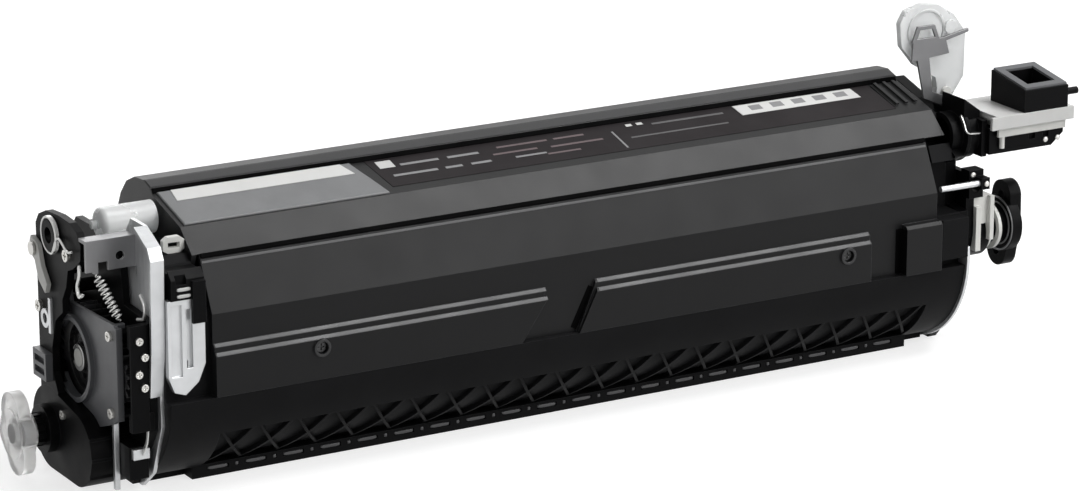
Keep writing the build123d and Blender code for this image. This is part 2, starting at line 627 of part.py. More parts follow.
def gear_panel():
    """Flat cover over the upper gears with a round window on the rear auger's gear."""
    outline = [(17.0, 76.0), (11.0, 76.0), (9.0, 68.6), (panel_front_y + 1, 70.0), (panel_front_y, 69.0),
               (panel_front_y, 32.5), (panel_front_y + 4, 30.0), (0.0, 20.0), (17.0, 32.0)]
    panel = slab_x(panel_x, panel_x + panel_t, outline)
    panel += block(panel_x, panel_x + 2.6, panel_front_y - 1.0, panel_front_y + 0.2, 32.5, 69.0)
    panel += block(panel_x + panel_t, spring_x1 + 1.5, -29.5, -27.5, 68.0, 69.8)
    panel -= rod_x(panel_x - 1, panel_x + panel_t + 1, rear_y, rear_z, 15.0)
    panel += tube_x(panel_x - 2.0, panel_x, rear_y, rear_z, 17.0, 15.0) & block(
        panel_x - 2.0, panel_x, -30, 14.0, 20, 80)
    return panel - drum_outline(panel_x - 3, panel_x + panel_t + 1, seam)


def drum_cover():
    """Deep cover round the roller's gear and the idler, open towards the carrier."""
    cover = drum_outline(drum_x, carrier_x, 0.0) - drum_outline(drum_x + drum_wall, carrier_x + 1, -drum_wall)
    cover += rod_x(drum_x - drum_boss, drum_x + 0.5, roller_y, roller_z, 9.5)
    cover -= rod_x(drum_x - drum_boss - 1, drum_x + drum_wall + 1, roller_y, roller_z, journal_r + 0.5)
    mesh = rod_x(gear_x - air, gear_end + air, rear_y, rear_z, gear_module * (rear_teeth / 2 + 1) + air)
    cover -= mesh
    for number in range(5):
        turn = math.radians(150 + 32 * number)
        y, z = idler_y + lobe_r * math.cos(turn), idler_z + lobe_r * math.sin(turn)
        if z > 1.5:
            cover += block(drum_x, carrier_x, y - 0.5, y + 0.9, z - 0.6, z + 0.6)
    return cover


def ground_strip():
    """Thin light strip round the front of the drum cover, and the contact block beside it."""
    strip = block(strip_x0, strip_x1, -22.4, -20.6, 2.0, 31.0)
    strip += block(strip_x0, strip_x1, -22.4, -12.0, 29.5, 31.0)
    strip = strip - drum_outline(strip_x0 - 1, strip_x1 + 1, 0.0)
    return [strip, block(strip_x1 + 1.0, carrier_x + 0.6, -33.0, -31.0, 16.5, 20.5)]


def upright_plate():
    """Outer plate at the back of the gears, with a domed head that reaches forward."""
    back = upright_back_y
    outline = [(back, 16.0), (back, 97.0), (back - 3.0, 101.0), (16.0, 104.0), (4.0, 105.0), (-6.0, 104.5),
               (-12.0, 102.5), (-15.5, 98.0), (-15.0, 92.0), (-8.0, 87.0), (-3.0, 85.0), (-1.0, 78.0), (3.0, 72.0),
               (3.0, 67.0), (10.0, 62.0), (14.0, 50.0), (14.0, 40.0), (10.0, 33.0), (10.0, 16.0)]
    plate = slab_x(upright_x, upright_x + upright_t, outline)
    plate += rod_x(upright_x - 2.0, upright_x, 10.0, 96.0, 6.0)
    plate -= rod_x(upright_x - 3, upright_x + 5, 10.0, 96.0, 3.2)
    return plate - drum_outline(upright_x - 1, upright_x + upright_t + 1, 0.0)


def tie_bar():
    """Folded steel bar that ties the outer plate to the end plate."""
    x0, x1 = upright_x, plate_x
    bar = block(x0, x1, -20.0, -14.0, 99.4, 100.8)
    bar += block(x0, x1, -20.0, -18.8, 88.5, 100.8)
    bar -= rod_y(-21.0, -18.0, x0 + 14.0, 93.5, 1.8)
    bar += block(spring_x0 - 1.2, spring_x0 + 1.2, -20.0, -18.0, 87.6, 88.6)
    return bar - block(x0 + 5, x0 + 9, -21.0, -18.0, 87, 92)


def drive_coupling():
    """Translucent lobed wheel on the end of the roller's shaft."""
    x1 = coupling_x + coupling_w
    wheel = rod_x(coupling_x, x1, roller_y, roller_z, coupling_r * 0.62)
    for number, r in enumerate((0.52, 0.3, 0.52, 0.3)):
        turn = math.radians(90 * number + 75)
        away = coupling_r * (1 - r) * (1.0 if r > 0.4 else 0.72)
        y, z = roller_y + away * math.cos(turn), roller_z + away * math.sin(turn)
        wheel += rod_x(coupling_x + 0.8, x1 - 0.8, y, z, coupling_r * r)
    wheel += rod_x(coupling_x + coupling_w, coupling_x + coupling_w + 2, roller_y, roller_z, 7.0)
    return wheel - rod_x(coupling_x + 1.0, coupling_x + coupling_w + 3, roller_y, roller_z, journal_r + 0.02)


def shaft_collar():
    """Small toothed collar that keeps the shaft in its cover."""
    corners = []
    for number in range(12):
        for step, r in ((0.0, 6.6), (0.5, 6.6), (0.5, 5.8), (1.0, 5.8)):
            turn = 2 * math.pi * (number + step) / 12
            corners.append((roller_y + r * math.cos(turn), roller_z + r * math.sin(turn)))
    collar = slab_x(coupling_x + coupling_w + 2.0, drum_x - drum_boss - 0.4, corners)
    return collar - rod_x(coupling_x, drum_x, roller_y, roller_z, journal_r + 0.02)


def filler_plug():
    """Round plug of the filling port with a small pin on its end."""
    plug = rod_x(plug_x0, plug_x1, plug_y, plug_z, plug_r)
    plug = fillet(plug.edges().filter_by(GeomType.CIRCLE).sort_by(Axis.X)[0], 2.4)
    return plug + rod_x(plug_x0 - 2.5, plug_x0 + 1, plug_y, plug_z, 1.6)


def ground_bracket():
    """J-shaped bracket with a long slot on the front of the left end block."""
    left, right = -tub_left + seam, -cover_half - 3.5
    outline = [(left, 80.0), (right, 80.0), (right, 54.0), (right - 3.0, 47.0), (right - 8.5, 42.5),
               (left + 2.3, 44.0), (left, 50.0)]
    bracket = slab_y(wall_y - 3.0, wall_y, outline)
    bracket -= block(left + 7.6, right - 5.1, wall_y - 4, wall_y - 1.4, 53.0, 76.0)
    bracket -= block(left + 7.6, right - 6.6, wall_y - 4, wall_y + 1, 53.0, 55.5)
    return bracket - block(left + 1.2, left + 5.8, wall_y - 4, wall_y - 2.0, 50.0, 78.0)


def clip_block():
    """Black clip above the bracket, with a notch and a hooked nose."""
    left, right = -tub_left + 1.7, -cover_half - 3.6
    front = wall_y - 3.5
    clip = slab_x(left, right, [(front, 80.0), (wall_y, 80.0), (wall_y, 91.0), (wall_y - 0.5, 91.0), (front, 88.0)])
    clip += block(right - 5.4, right, wall_y - 4.8, wall_y - 3.0, 70.5, 87.0)
    back = [(wall_y, 80.0), (wall_y, 90.0), (groove_y - 0.5, 90.0), (wall_y + 1.0, 80.0)]
    clip += slab_x(left, right, back)
    return clip - block(left + 1.8, left + 6.3, wall_y - 5, wall_y - 2.0, 86.0, 92.0)


def oval_clip():
    """Flat oval ring at the left end of the roof's front strip."""
    middle = -cover_half - 7.6
    clip = Pos(middle, 0, 0) * slab_y(-26.0, -23.6, [(-4.4, 94.2), (-2.4, 93.0), (2.4, 93.0), (4.4, 94.2), (4.4, 98.0),
                                                     (2.4, 99.4), (-2.4, 99.4), (-4.4, 98.0)])
    return clip - block(middle - 2.4, middle + 2.4, -27, -22, 95.0, 97.2)


def coil_spring(x0, y0, z0, x1, y1, z1, r, coils):
    """A tension spring drawn as a string of rings, with a hook end at each side."""
    length = math.dist((x0, y0, z0), (x1, y1, z1))
    step = (length - 2 * r) / coils
    points = [(0.0, r)]
    for number in range(coils):
        points.append((r * 0.62, r + step * number))
        points.append((r, r + step * (number + 0.5)))
    points.append((r * 0.62, length - r))
    points.append((0.0, length - r))
    body = revolve(Plane.XZ * make_face(Polyline(*points, close=True)), Axis.Z)
    body += rod_z(0, r + 0.5, 0, 0, r * 0.35) + rod_z(length - r - 0.5, length, 0, 0, r * 0.35)
    return Plane(origin=(x0, y0, z0), z_dir=(x1 - x0, y1 - y0, z1 - z0)) * body


def tension_spring():
    """Spring between the tie bar and the gear panel."""
    return coil_spring(spring_x0, -19.0, 87.2, spring_x1, -28.5, 70.7, 2.0, 8)


def front_screws():
    """Bright screws on the front side of the gear space."""
    heads = [screw(1.5, 1.2, gear_x + along, guard_y, z, (0, -1, 0)) for along, z in guard_screws]
    heads += [screw(2.0, 1.4, panel_x, y, z, (-1, 0, 0)) for y, z in panel_posts]
    heads += [screw(2.4, 1.6, upright_x, y, z, (-1, 0, 0)) for y, z in upright_posts[::2]]
    heads.append(screw(1.8, 1.2, drum_x, 5.0, 25.5, (-1, 0, 0)))
    return heads


def latch_lever():
    """Light lever on the outer plate that holds the unit in its slot."""
    lever = slab_x(upright_x - 2.2, upright_x - 0.4, [(26.0, 92.0), (20.0, 90.0), (17.0, 82.0), (12.0, 76.0),
                                                    (14.0, 72.0), (20.0, 76.0), (23.0, 83.0), (29.0, 86.0)])
    return lever - rod_x(upright_x - 3, upright_x, latch_y, latch_z, latch_r + run_gap)


def latch_pin():
    """Pin that the latch lever turns on."""
    return rod_x(upright_x - 3.0, upright_x, latch_y, latch_z, latch_r) + rod_x(
        upright_x - 3.6, upright_x - 2.6, latch_y, latch_z, latch_r + 1.0)


def side_tab():
    """Light lobed tab behind the outer plate."""
    x0, x1 = upright_x + upright_t, upright_x + upright_t + 2
    tab = block(x0, x1, upright_back_y - 5, upright_back_y + 4, 82.0, 91.0)
    tab += rod_x(x0, x1, upright_back_y + 4, 86.5, 4.5)
    return tab


def connector_box():
    """Grey socket block on the outer plate, with two rows of slots."""
    y0, y1 = upright_back_y - 12.0, upright_back_y
    box = block(upright_x - 3.0, upright_x, y0, y1, 36.5, 47.5)
    for z in (38.5, 42.9):
        box -= block(upright_x - 4.0, upright_x - 1.2, y0 + 1.6, y1 - 1.6, z, z + 2.6)
    return box


def contact_ring():
    """Light washer and tongue on the outer plate."""
    ring = tube_x(upright_x - 1.2, upright_x, 17.5, 61.0, 3.8, 2.0)
    return ring + block(upright_x - 1.2, upright_x, 12.2, 14.0, 56.0, 70.0)


def contact_spring():
    """Wavy light contact between the outer plate and the gear panel."""
    points = []
    count = 7
    for side in (0, 1):
        order = range(count) if side == 0 else reversed(range(count))
        for number in order:
            y = 6.0 + 1.6 * math.sin(number * math.pi / 1.5) + side * 2.4
            points.append((y, 77.0 + number * 1.8))
    return slab_x(upright_x + upright_t, upright_x + upright_t + 2.0, points)


# Right end

def right_arc_strip():
    """Thin light plate whose edge stands proud of the bulge."""
    outer_r = bulge_r + strip_out
    disc = rod_x(tub_right, right_plate_x, bulge_y, bulge_z, outer_r)
    disc &= block(tub_right, right_plate_x, bulge_y - outer_r, lip_y, 0.8, cover_foot_z + 8)
    for hole in shaft_holes(tub_right - 1, right_plate_x + 1, 1.0):
        disc -= hole
    return disc


def right_end_plate():
    """Moulded end plate that carries the bearing bracket, the magnet's shaft and the inlet."""
    x0, x1 = right_plate_x, right_face
    outline = [(sole_front_y - 4, 1.0), (lip_y, 1.0), (back_y - 2, 40.0), (back_y - 2, 86.0), (24.0, 104.0),
               (crown_y, 108.0), (-8.0, 103.0), (-14.0, 99.0), (-36.0, 84.0), (end_recess_y, 80.0),
               (end_recess_y, pad_top_z + 1), (-38.5, pad_top_z), (-38.5, 42.0), (-36.0, 26.0), (-28.0, 12.0)]
    plate = slab_x(x0, x1, outline)
    plate += slab_x(tub_right, x0, [(back_y - 2, 60.0), (back_y - 2, 86.0), (24.0, 104.0), (crown_y, 108.0),
                                    (-8.0, 103.0), (-36.0, 84.0), (end_recess_y, 80.0), (end_recess_y, 60.0)])
    plate -= rod_x(tub_right - 1, x1 + 1, neck_y, neck_z, neck_r + seam)
    plate -= rod_x(x0 - 1, x1 + 1, front_y, front_z, shaft_r + 1.0)
    plate -= rod_x(x0 - 1, x0 + 2, rear_y, rear_z, shaft_r + 1.0)
    plate -= rod_x(x0 - 1, x1 + 1, roller_y, roller_z, core_shaft_r + 0.02)
    for y0, y1, z0, z1 in ((-10.0, 10.0, 62.0, 80.0), (14.0, 28.0, 62.0, 80.0), (12.0, 28.0, 38.0, 56.0)):
        plate -= block(x1 - 2.4, x1 + 1, y0, y1, z0, z1)
    return plate


def right_frame():
    """Black frame under the inlet with the front auger's bearing barrel and a rod's seat."""
    x0 = right_face
    frame = block(x0, x0 + 7, -39.0, -33.0, 66.0, 78.0)
    frame += block(x0, x0 + 3, -39.0, -12.0, 68.0, 76.5)
    frame += block(x0 + 3, x0 + 7, rod_y0 - 2.2, -39.0, rod_z0 - 2.4, rod_z0 + 2.4)
    frame += block(x0, x0 + 4, front_y - 12, front_y + 12, front_z, 70.0)
    frame += rod_x(x0, x0 + barrel_l, front_y, front_z, hub_r + barrel_wall)
    frame -= rod_x(x0 - 1, x0 + barrel_l + 1, front_y, front_z, hub_r + run_gap)
    frame -= rod_x(x0 + 2, x0 + 8, rod_y0, rod_z0, rod_r + 0.02)
    return frame - rod_y(-40, -30, x0 + 3.5, 70.0, 1.8)


def frame_rod():
    """Short light rod in front of the end frame."""
    x0 = right_face
    return rod_x(cover_half + 2, x0 + 6.5, rod_y0, rod_z0, rod_r)


def bearing_bracket():
    """Light saddle over the bearing barrel."""
    x0 = right_face
    bracket = block(x0 + 4, x0 + barrel_l, front_y - 12, front_y + 4, front_z + 5, front_z + 17)
    bracket += block(x0 + 4, x0 + 6.5, front_y - 14, front_y + 12, front_z - 6, front_z + 13)
    bracket += block(x0 + barrel_l - 2, x0 + barrel_l, front_y - 14, front_y - 2, front_z - 2, front_z + 17)
    return bracket - rod_x(x0 - 1, x0 + 14, front_y, front_z, hub_r + barrel_wall)


def auger_coupling():
    """Black eared coupling on the front auger's shaft."""
    x0 = right_face
    hub = rod_x(x0 + 0.5, ear_x1, front_y, front_z, hub_r)
    disc = rod_x(ear_x0, ear_x1 - 2, front_y, front_z, hub_r + 4)
    hub += disc
    lean = math.radians(80)
    for side in (1, -1):
        y = front_y - side * ear_reach * math.cos(lean) * 0.6
        z = front_z + side * ear_reach * math.sin(lean)
        hub += hull_x(ear_x0 + 1, ear_x1, front_y, front_z, hub_r, y, z, ear_r)
        hub -= rod_x(ear_x0 - 1, ear_x1 + 1, y, z, 2.0)
    return hub - rod_x(x0, ear_x1 - 2.0, front_y, front_z, shaft_r + 0.02)


def coupling_rings():
    """Pale retaining rings on the coupling's hub."""
    first = right_face + 13.6
    return [tube_x(x, x + collar_t, front_y, front_z, hub_r + 2.2, hub_r + 0.02) for x in (first, first + 5.0)]


def inlet_neck():
    """Short round duct into the housing, with a collar and a flat deck on top."""
    neck = rod_x(tub_right, neck_end, neck_y, neck_z, neck_r)
    neck += rod_x(right_face, right_face + 1.6, neck_y, neck_z, neck_r + 3.2)
    neck += rod_x(right_face, neck_end - 2.5, neck_y, neck_z, neck_r + 2.2)
    neck += slab_y(neck_y - 9, neck_y + 7, [(right_face, deck_z - 2), (right_face, deck_z + 6.5),
                                            (neck_end - 1, deck_z + 0.8), (neck_end - 1, deck_z - 2)])
    neck += block(right_face, neck_end - 1, neck_y - 4, neck_y + 20, neck_z + 6, deck_z)
    neck += block(neck_end - 2.5, neck_end, rail_y0 + 2, rail_y1, rail_z0 - 1, neck_z + 7)
    return neck - rod_x(tub_right - 1, neck_end + 1, neck_y, neck_z, neck_bore)


def inlet_rail():
    """Black channel under the tray that leads the toner to the neck."""
    rail = slab_y(rail_y0, rail_y1, [(rail_x0, rail_z0), (rail_x1 - rail_nose, rail_z0),
                                     (rail_x1, rail_z0 + rail_nose_h), (rail_x1, rail_z1), (rail_x0, rail_z1)])
    rail -= block(rail_x0 - 1, chute_x1 - chute_wall, neck_y - 6.5, neck_y + 6.5, rail_z0 + 2, rail_z1 + 1)
    for x in (chute_x0 + 5.5, chute_x0 + 12.5):
        rail -= block(x, x + 3.2, rail_y0 - 1, rail_y0 + 1.2, rail_z0 + 4, rail_z0 + 8)
    rail += block(rail_x0, rail_x1, rail_y1 - 2, rail_y1, rail_z1 - 0.01, tray_z)
    return rail


def inlet_tray():
    """Light guide plate over the shutter with a turned-down front lip."""
    tray = block(tray_x0 + 3.0, tray_x1, tray_y0, tray_y1, tray_z, tray_z + tray_t)
    tray += block(tray_x0, tray_x1, tray_y0, tray_y0 + 1.4, tray_z - tray_lip, tray_z + tray_t)
    tray += block(tray_x1 - 1.4, tray_x1, tray_y0 + 8, tray_y1, tray_z + tray_t, tray_z + tray_t + 2)
    hole = (chute_x0 + chute_wall, chute_x1 - chute_wall, chute_y0 + chute_wall, chute_y1 - chute_wall)
    tray -= block(*hole, tray_z - 1, tray_z + tray_t + 1)
    return tray


def shutter():
    """Sliding plate that closes the inlet; its window meets the chute when it is pulled out."""
    z0 = rail_z1 + 0.4
    x0, x1 = chute_x0 + chute_wall + 1.0 - shutter_travel - 2.5, rail_x1 - 0.5
    y0, y1 = rail_y0 - 2.2, rail_y1 - 2.5
    plate = block(x0, x1, y0, y1, z0, z0 + shutter_t)
    plate += block(x0, x1, y0, rail_y0 - 1.0, z0 - 4.0, z0 + shutter_t)
    plate += rod_z(z0 - 9.0, z0 - 3.0, x0 + 2.5, y0 + 1.1, 1.1)
    return plate - block(x0 + 2.5, x0 + 2.5 + chute_x1 - chute_x0 - 2 * chute_wall - 2, chute_y0 + chute_wall + 1,
                         chute_y1 - chute_wall - 1, z0 - 1, z0 + shutter_t + 1)


def inlet_chute():
    """Square chute whose rim slopes to the front."""
    base = tray_z + tray_t
    outer = slab_x(chute_x0, chute_x1, [(chute_y0, base), (chute_y1, base), (chute_y1, chute_back_z),
                                        (chute_y0, chute_front_z)])
    outer += rod_x(chute_x1 - 1, chute_x1 + 8.0, chute_y0 + 5, base + 5.0, 1.5)
    return outer - block(chute_x0 + chute_wall, chute_x1 - chute_wall, chute_y0 + chute_wall, chute_y1 - chute_wall,
                         base - 1, chute_back_z + 1)


def inlet_seal():
    """Grey gasket on the chute's rim."""
    inset = 0.6
    rise = (chute_back_z - chute_front_z) / (chute_y1 - chute_y0)
    y0, y1 = chute_y0 + inset, chute_y1 - inset
    z0, z1 = chute_front_z + rise * inset, chute_back_z - rise * inset
    rim = slab_x(chute_x0 + inset, chute_x1 - inset, [(y0, z0), (y1, z1), (y1, z1 + seal_t), (y0, z0 + seal_t)])
    return rim - block(chute_x0 + chute_wall, chute_x1 - chute_wall, chute_y0 + chute_wall, chute_y1 - chute_wall,
                       90, 130)


def from_pin(points):
    """Points given from the white lever's pin, as (x, z) places on the part."""
    return [(flag_pin_x + x, flag_pin_z + z) for x, z in points]


def shutter_lever():
    """Translucent lever with a round head, standing on the neck's deck."""
    outline = [(-3.9, 1.4), (3.7, -2.2), (9.1, 5.4), (9.5, 24.4), (3.5, 32.4), (-4.5, 37.4), (-12.5, 38.4),
               (-20.5, 36.4), (-23.5, 31.4), (-22.5, 21.4), (-15.5, 12.9), (-5.0, 6.4)]
    lever = slab_y(flag_y0, flag_y1, from_pin(outline))
    lever = fillet(lever.edges().filter_by(Axis.Y).sort_by(Axis.Z)[-7:], 2.5)
    lever += rod_y(flag_y0, flag_y1, flag_pin_x, flag_pin_z, 4.2)
    lever += rod_y(flag_y0 - 1.2, flag_y1, flag_pin_x + 1.5, flag_pin_z + 27.4, 3.0)
    return lever - rod_y(flag_y0 - 2, flag_y1 + 1, flag_pin_x, flag_pin_z, flag_pin_r + run_gap)


def lever_post():
    """Ear on the neck's deck with the lever's pin."""
    post = block(flag_pin_x - 4, neck_end - 1, flag_y1 + 0.4, flag_y1 + 3.6, deck_z, flag_pin_z + 4)
    return post + rod_y(flag_y0 - 1.6, flag_y1 + 0.5, flag_pin_x, flag_pin_z, flag_pin_r)


def wire_clip():
    """Steel clip in front of the lever: a shield plate, a loop and a stem down to the deck."""
    y0, y1 = flag_y0 - 3.0, flag_y0 - 1.8
    foot = deck_z - flag_pin_z
    clip = slab_y(y0, y1, from_pin([(-19.0, 15.4), (-0.5, 16.9), (-2.5, 23.9), (-18.5, 23.9)]))
    clip += slab_y(y0, y1, from_pin([(-16.5, 16.4), (-10.5, 16.4), (-8.5, 1.4), (-1.5, -1.6), (-1.5, foot),
                                     (-4.5, foot), (-12.5, -1.0)]))
    clip += slab_y(y0, y1, from_pin([(-19.0, 23.4), (-16.5, 29.9), (-8.0, 29.9), (-5.5, 23.4)]))
    clip -= slab_y(y0 - 1, y1 + 1, from_pin([(-16.7, 24.6), (-15.3, 28.4), (-9.1, 28.4), (-7.5, 24.6)]))
    clip += slab_y(y0, y1, from_pin([(-6.5, 23.4), (9.0, 26.4), (9.0, 25.0), (-4.5, 22.0)]))
    return clip


parts = {
    "lower_housing": lower_housing(),
    "front_cover": front_cover(),
    "cover_screws": cover_screws(),
    "top_cover": top_cover(),
    "grey_plate": grey_plate(),
    "white_labels": [strip_label(3.0 - cover_half, 73.0 - cover_half, 14.0, 24.0, 0.9, label_t),
                     strip_label(field_x1 - 66.0, field_x1 - 4.0, 16.6, 25.0, label_t - field_deep, label_t)],
    "data_label": strip_label(field_x0, field_x1, field_run0, field_run1, -field_deep, label_t),
    "rear_cover": rear_cover(),
    "inner_lid": inner_lid(),
    "doctor_blade": doctor_blade(),
    "blade_bar": blade_bar(),
    "blade_screws": blade_screws(),
    "end_seals": end_seals(),
    "roller_sleeve": roller_sleeve(),
    "magnet_core": magnet_core(),
    "front_auger": auger(front_y, front_z, gear_x - 0.8, ear_x1 - 2.2, 1),
    "rear_auger": auger(rear_y, rear_z, gear_x - 2.5, tub_right - 1.0, -1),
    "left_bushes": left_bushes(),
    "right_bushes": right_bushes(),
    "roller_gear": gear(roller_teeth, roller_phase, roller_y, roller_z, journal_r + 0.02, 9.5),
    "rear_gear": gear(rear_teeth, rear_phase, rear_y, rear_z, shaft_r + 0.02, 13.5, 1.5),
    "front_gear": gear(front_teeth, front_phase, front_y, front_z, shaft_r + 0.02),
    "idler_gear": gear(idler_teeth, idler_phase, idler_y, idler_z, 2.5 + run_gap),
    "left_end_plate": left_end_plate(),
    "gear_carrier": gear_carrier(),
    "gear_panel": gear_panel(),
    "drum_cover": drum_cover(),
    "ground_strip": ground_strip(),
    "upright_plate": upright_plate(),
    "tie_bar": tie_bar(),
    "drive_coupling": drive_coupling(),
    "shaft_collar": shaft_collar(),
    "filler_plug": filler_plug(),
    "ground_bracket": ground_bracket(),
    "clip_block": clip_block(),
    "oval_clip": oval_clip(),
    "tension_spring": tension_spring(),
    "front_screws": front_screws(),
    "latch_lever": latch_lever(),
    "latch_pin": latch_pin(),
    "side_tab": side_tab(),
    "connector_box": connector_box(),
    "contact_ring": contact_ring(),
    "contact_spring": contact_spring(),
    "right_arc_strip": right_arc_strip(),
    "right_end_plate": right_end_plate(),
    "right_frame": right_frame(),
    "frame_rod": frame_rod(),
    "bearing_bracket": bearing_bracket(),
    "auger_coupling": auger_coupling(),
    "coupling_rings": coupling_rings(),
    "inlet_neck": inlet_neck(),
    "inlet_rail": inlet_rail(),
    "inlet_tray": inlet_tray(),
    "shutter": shutter(),
    "inlet_chute": inlet_chute(),
    "inlet_seal": inlet_seal(),
    "shutter_lever": shutter_lever(),
    "lever_post": lever_post(),
    "wire_clip": wire_clip(),
}

for name, shape in parts.items():
    pieces = shape if isinstance(shape, list) else [shape]
    solids = [solid for piece in pieces for solid in piece.solids()]
    export_step(Compound(children=solids) if len(solids) > 1 else solids[0], "parts/" + name + ".step")
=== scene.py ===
"""Looks of a toner cartridge: finishes on the CAD pieces, fine moulded and metal detail, floor, light and camera.

Everything is in metres in the CAD frame: +X along the length to the inlet, -Y the front, +Z up, Z = 0 the underside.
"""

import logging
import math
from dataclasses import dataclass
from enum import Enum
from typing import Sequence

import bmesh
import bpy
import numpy as np
from mathutils import Euler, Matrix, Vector

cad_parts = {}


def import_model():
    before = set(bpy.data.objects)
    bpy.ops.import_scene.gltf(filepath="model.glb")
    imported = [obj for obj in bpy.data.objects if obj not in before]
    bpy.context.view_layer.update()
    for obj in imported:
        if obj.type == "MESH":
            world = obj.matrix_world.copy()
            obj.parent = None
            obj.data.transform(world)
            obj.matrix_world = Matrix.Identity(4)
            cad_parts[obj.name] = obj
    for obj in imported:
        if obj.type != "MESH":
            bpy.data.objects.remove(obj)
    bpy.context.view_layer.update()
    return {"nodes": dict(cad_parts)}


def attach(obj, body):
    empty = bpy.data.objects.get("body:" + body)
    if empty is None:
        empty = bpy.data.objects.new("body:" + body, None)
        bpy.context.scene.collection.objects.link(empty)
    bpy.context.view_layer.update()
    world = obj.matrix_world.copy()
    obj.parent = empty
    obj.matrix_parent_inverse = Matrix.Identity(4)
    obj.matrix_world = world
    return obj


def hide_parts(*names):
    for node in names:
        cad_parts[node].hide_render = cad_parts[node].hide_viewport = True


logging.basicConfig(level=logging.INFO, format="%(name)s: %(message)s")
log = logging.getLogger("cartridge")

MM = 0.001
WELD = 1e-7         # metres within which two points are one
SHARP_DEG = 38.0    # a bend of more than this stays sharp
RIGHT, LEFT = (1.0, 0.0, 0.0), (-1.0, 0.0, 0.0)
BACK, FRONT = (0.0, 1.0, 0.0), (0.0, -1.0, 0.0)
UP = (0.0, 0.0, 1.0)
FULL_TURN = (0.0, 360.0)

Point = tuple[float, float, float]
Pair = tuple[float, float]
Edge = tuple[Pair, Pair, float]     # Y and Z of the middle, Y and Z of the direction that it faces, width


# Finishes


class Ground(Enum):
    """What a finish is made of. Light passes into the milky ones alone."""

    MOULDED = "moulded"
    SHEET = "sheet"
    MILKY = "milky"
    PRINTED = "printed"
    BLASTED = "blasted"


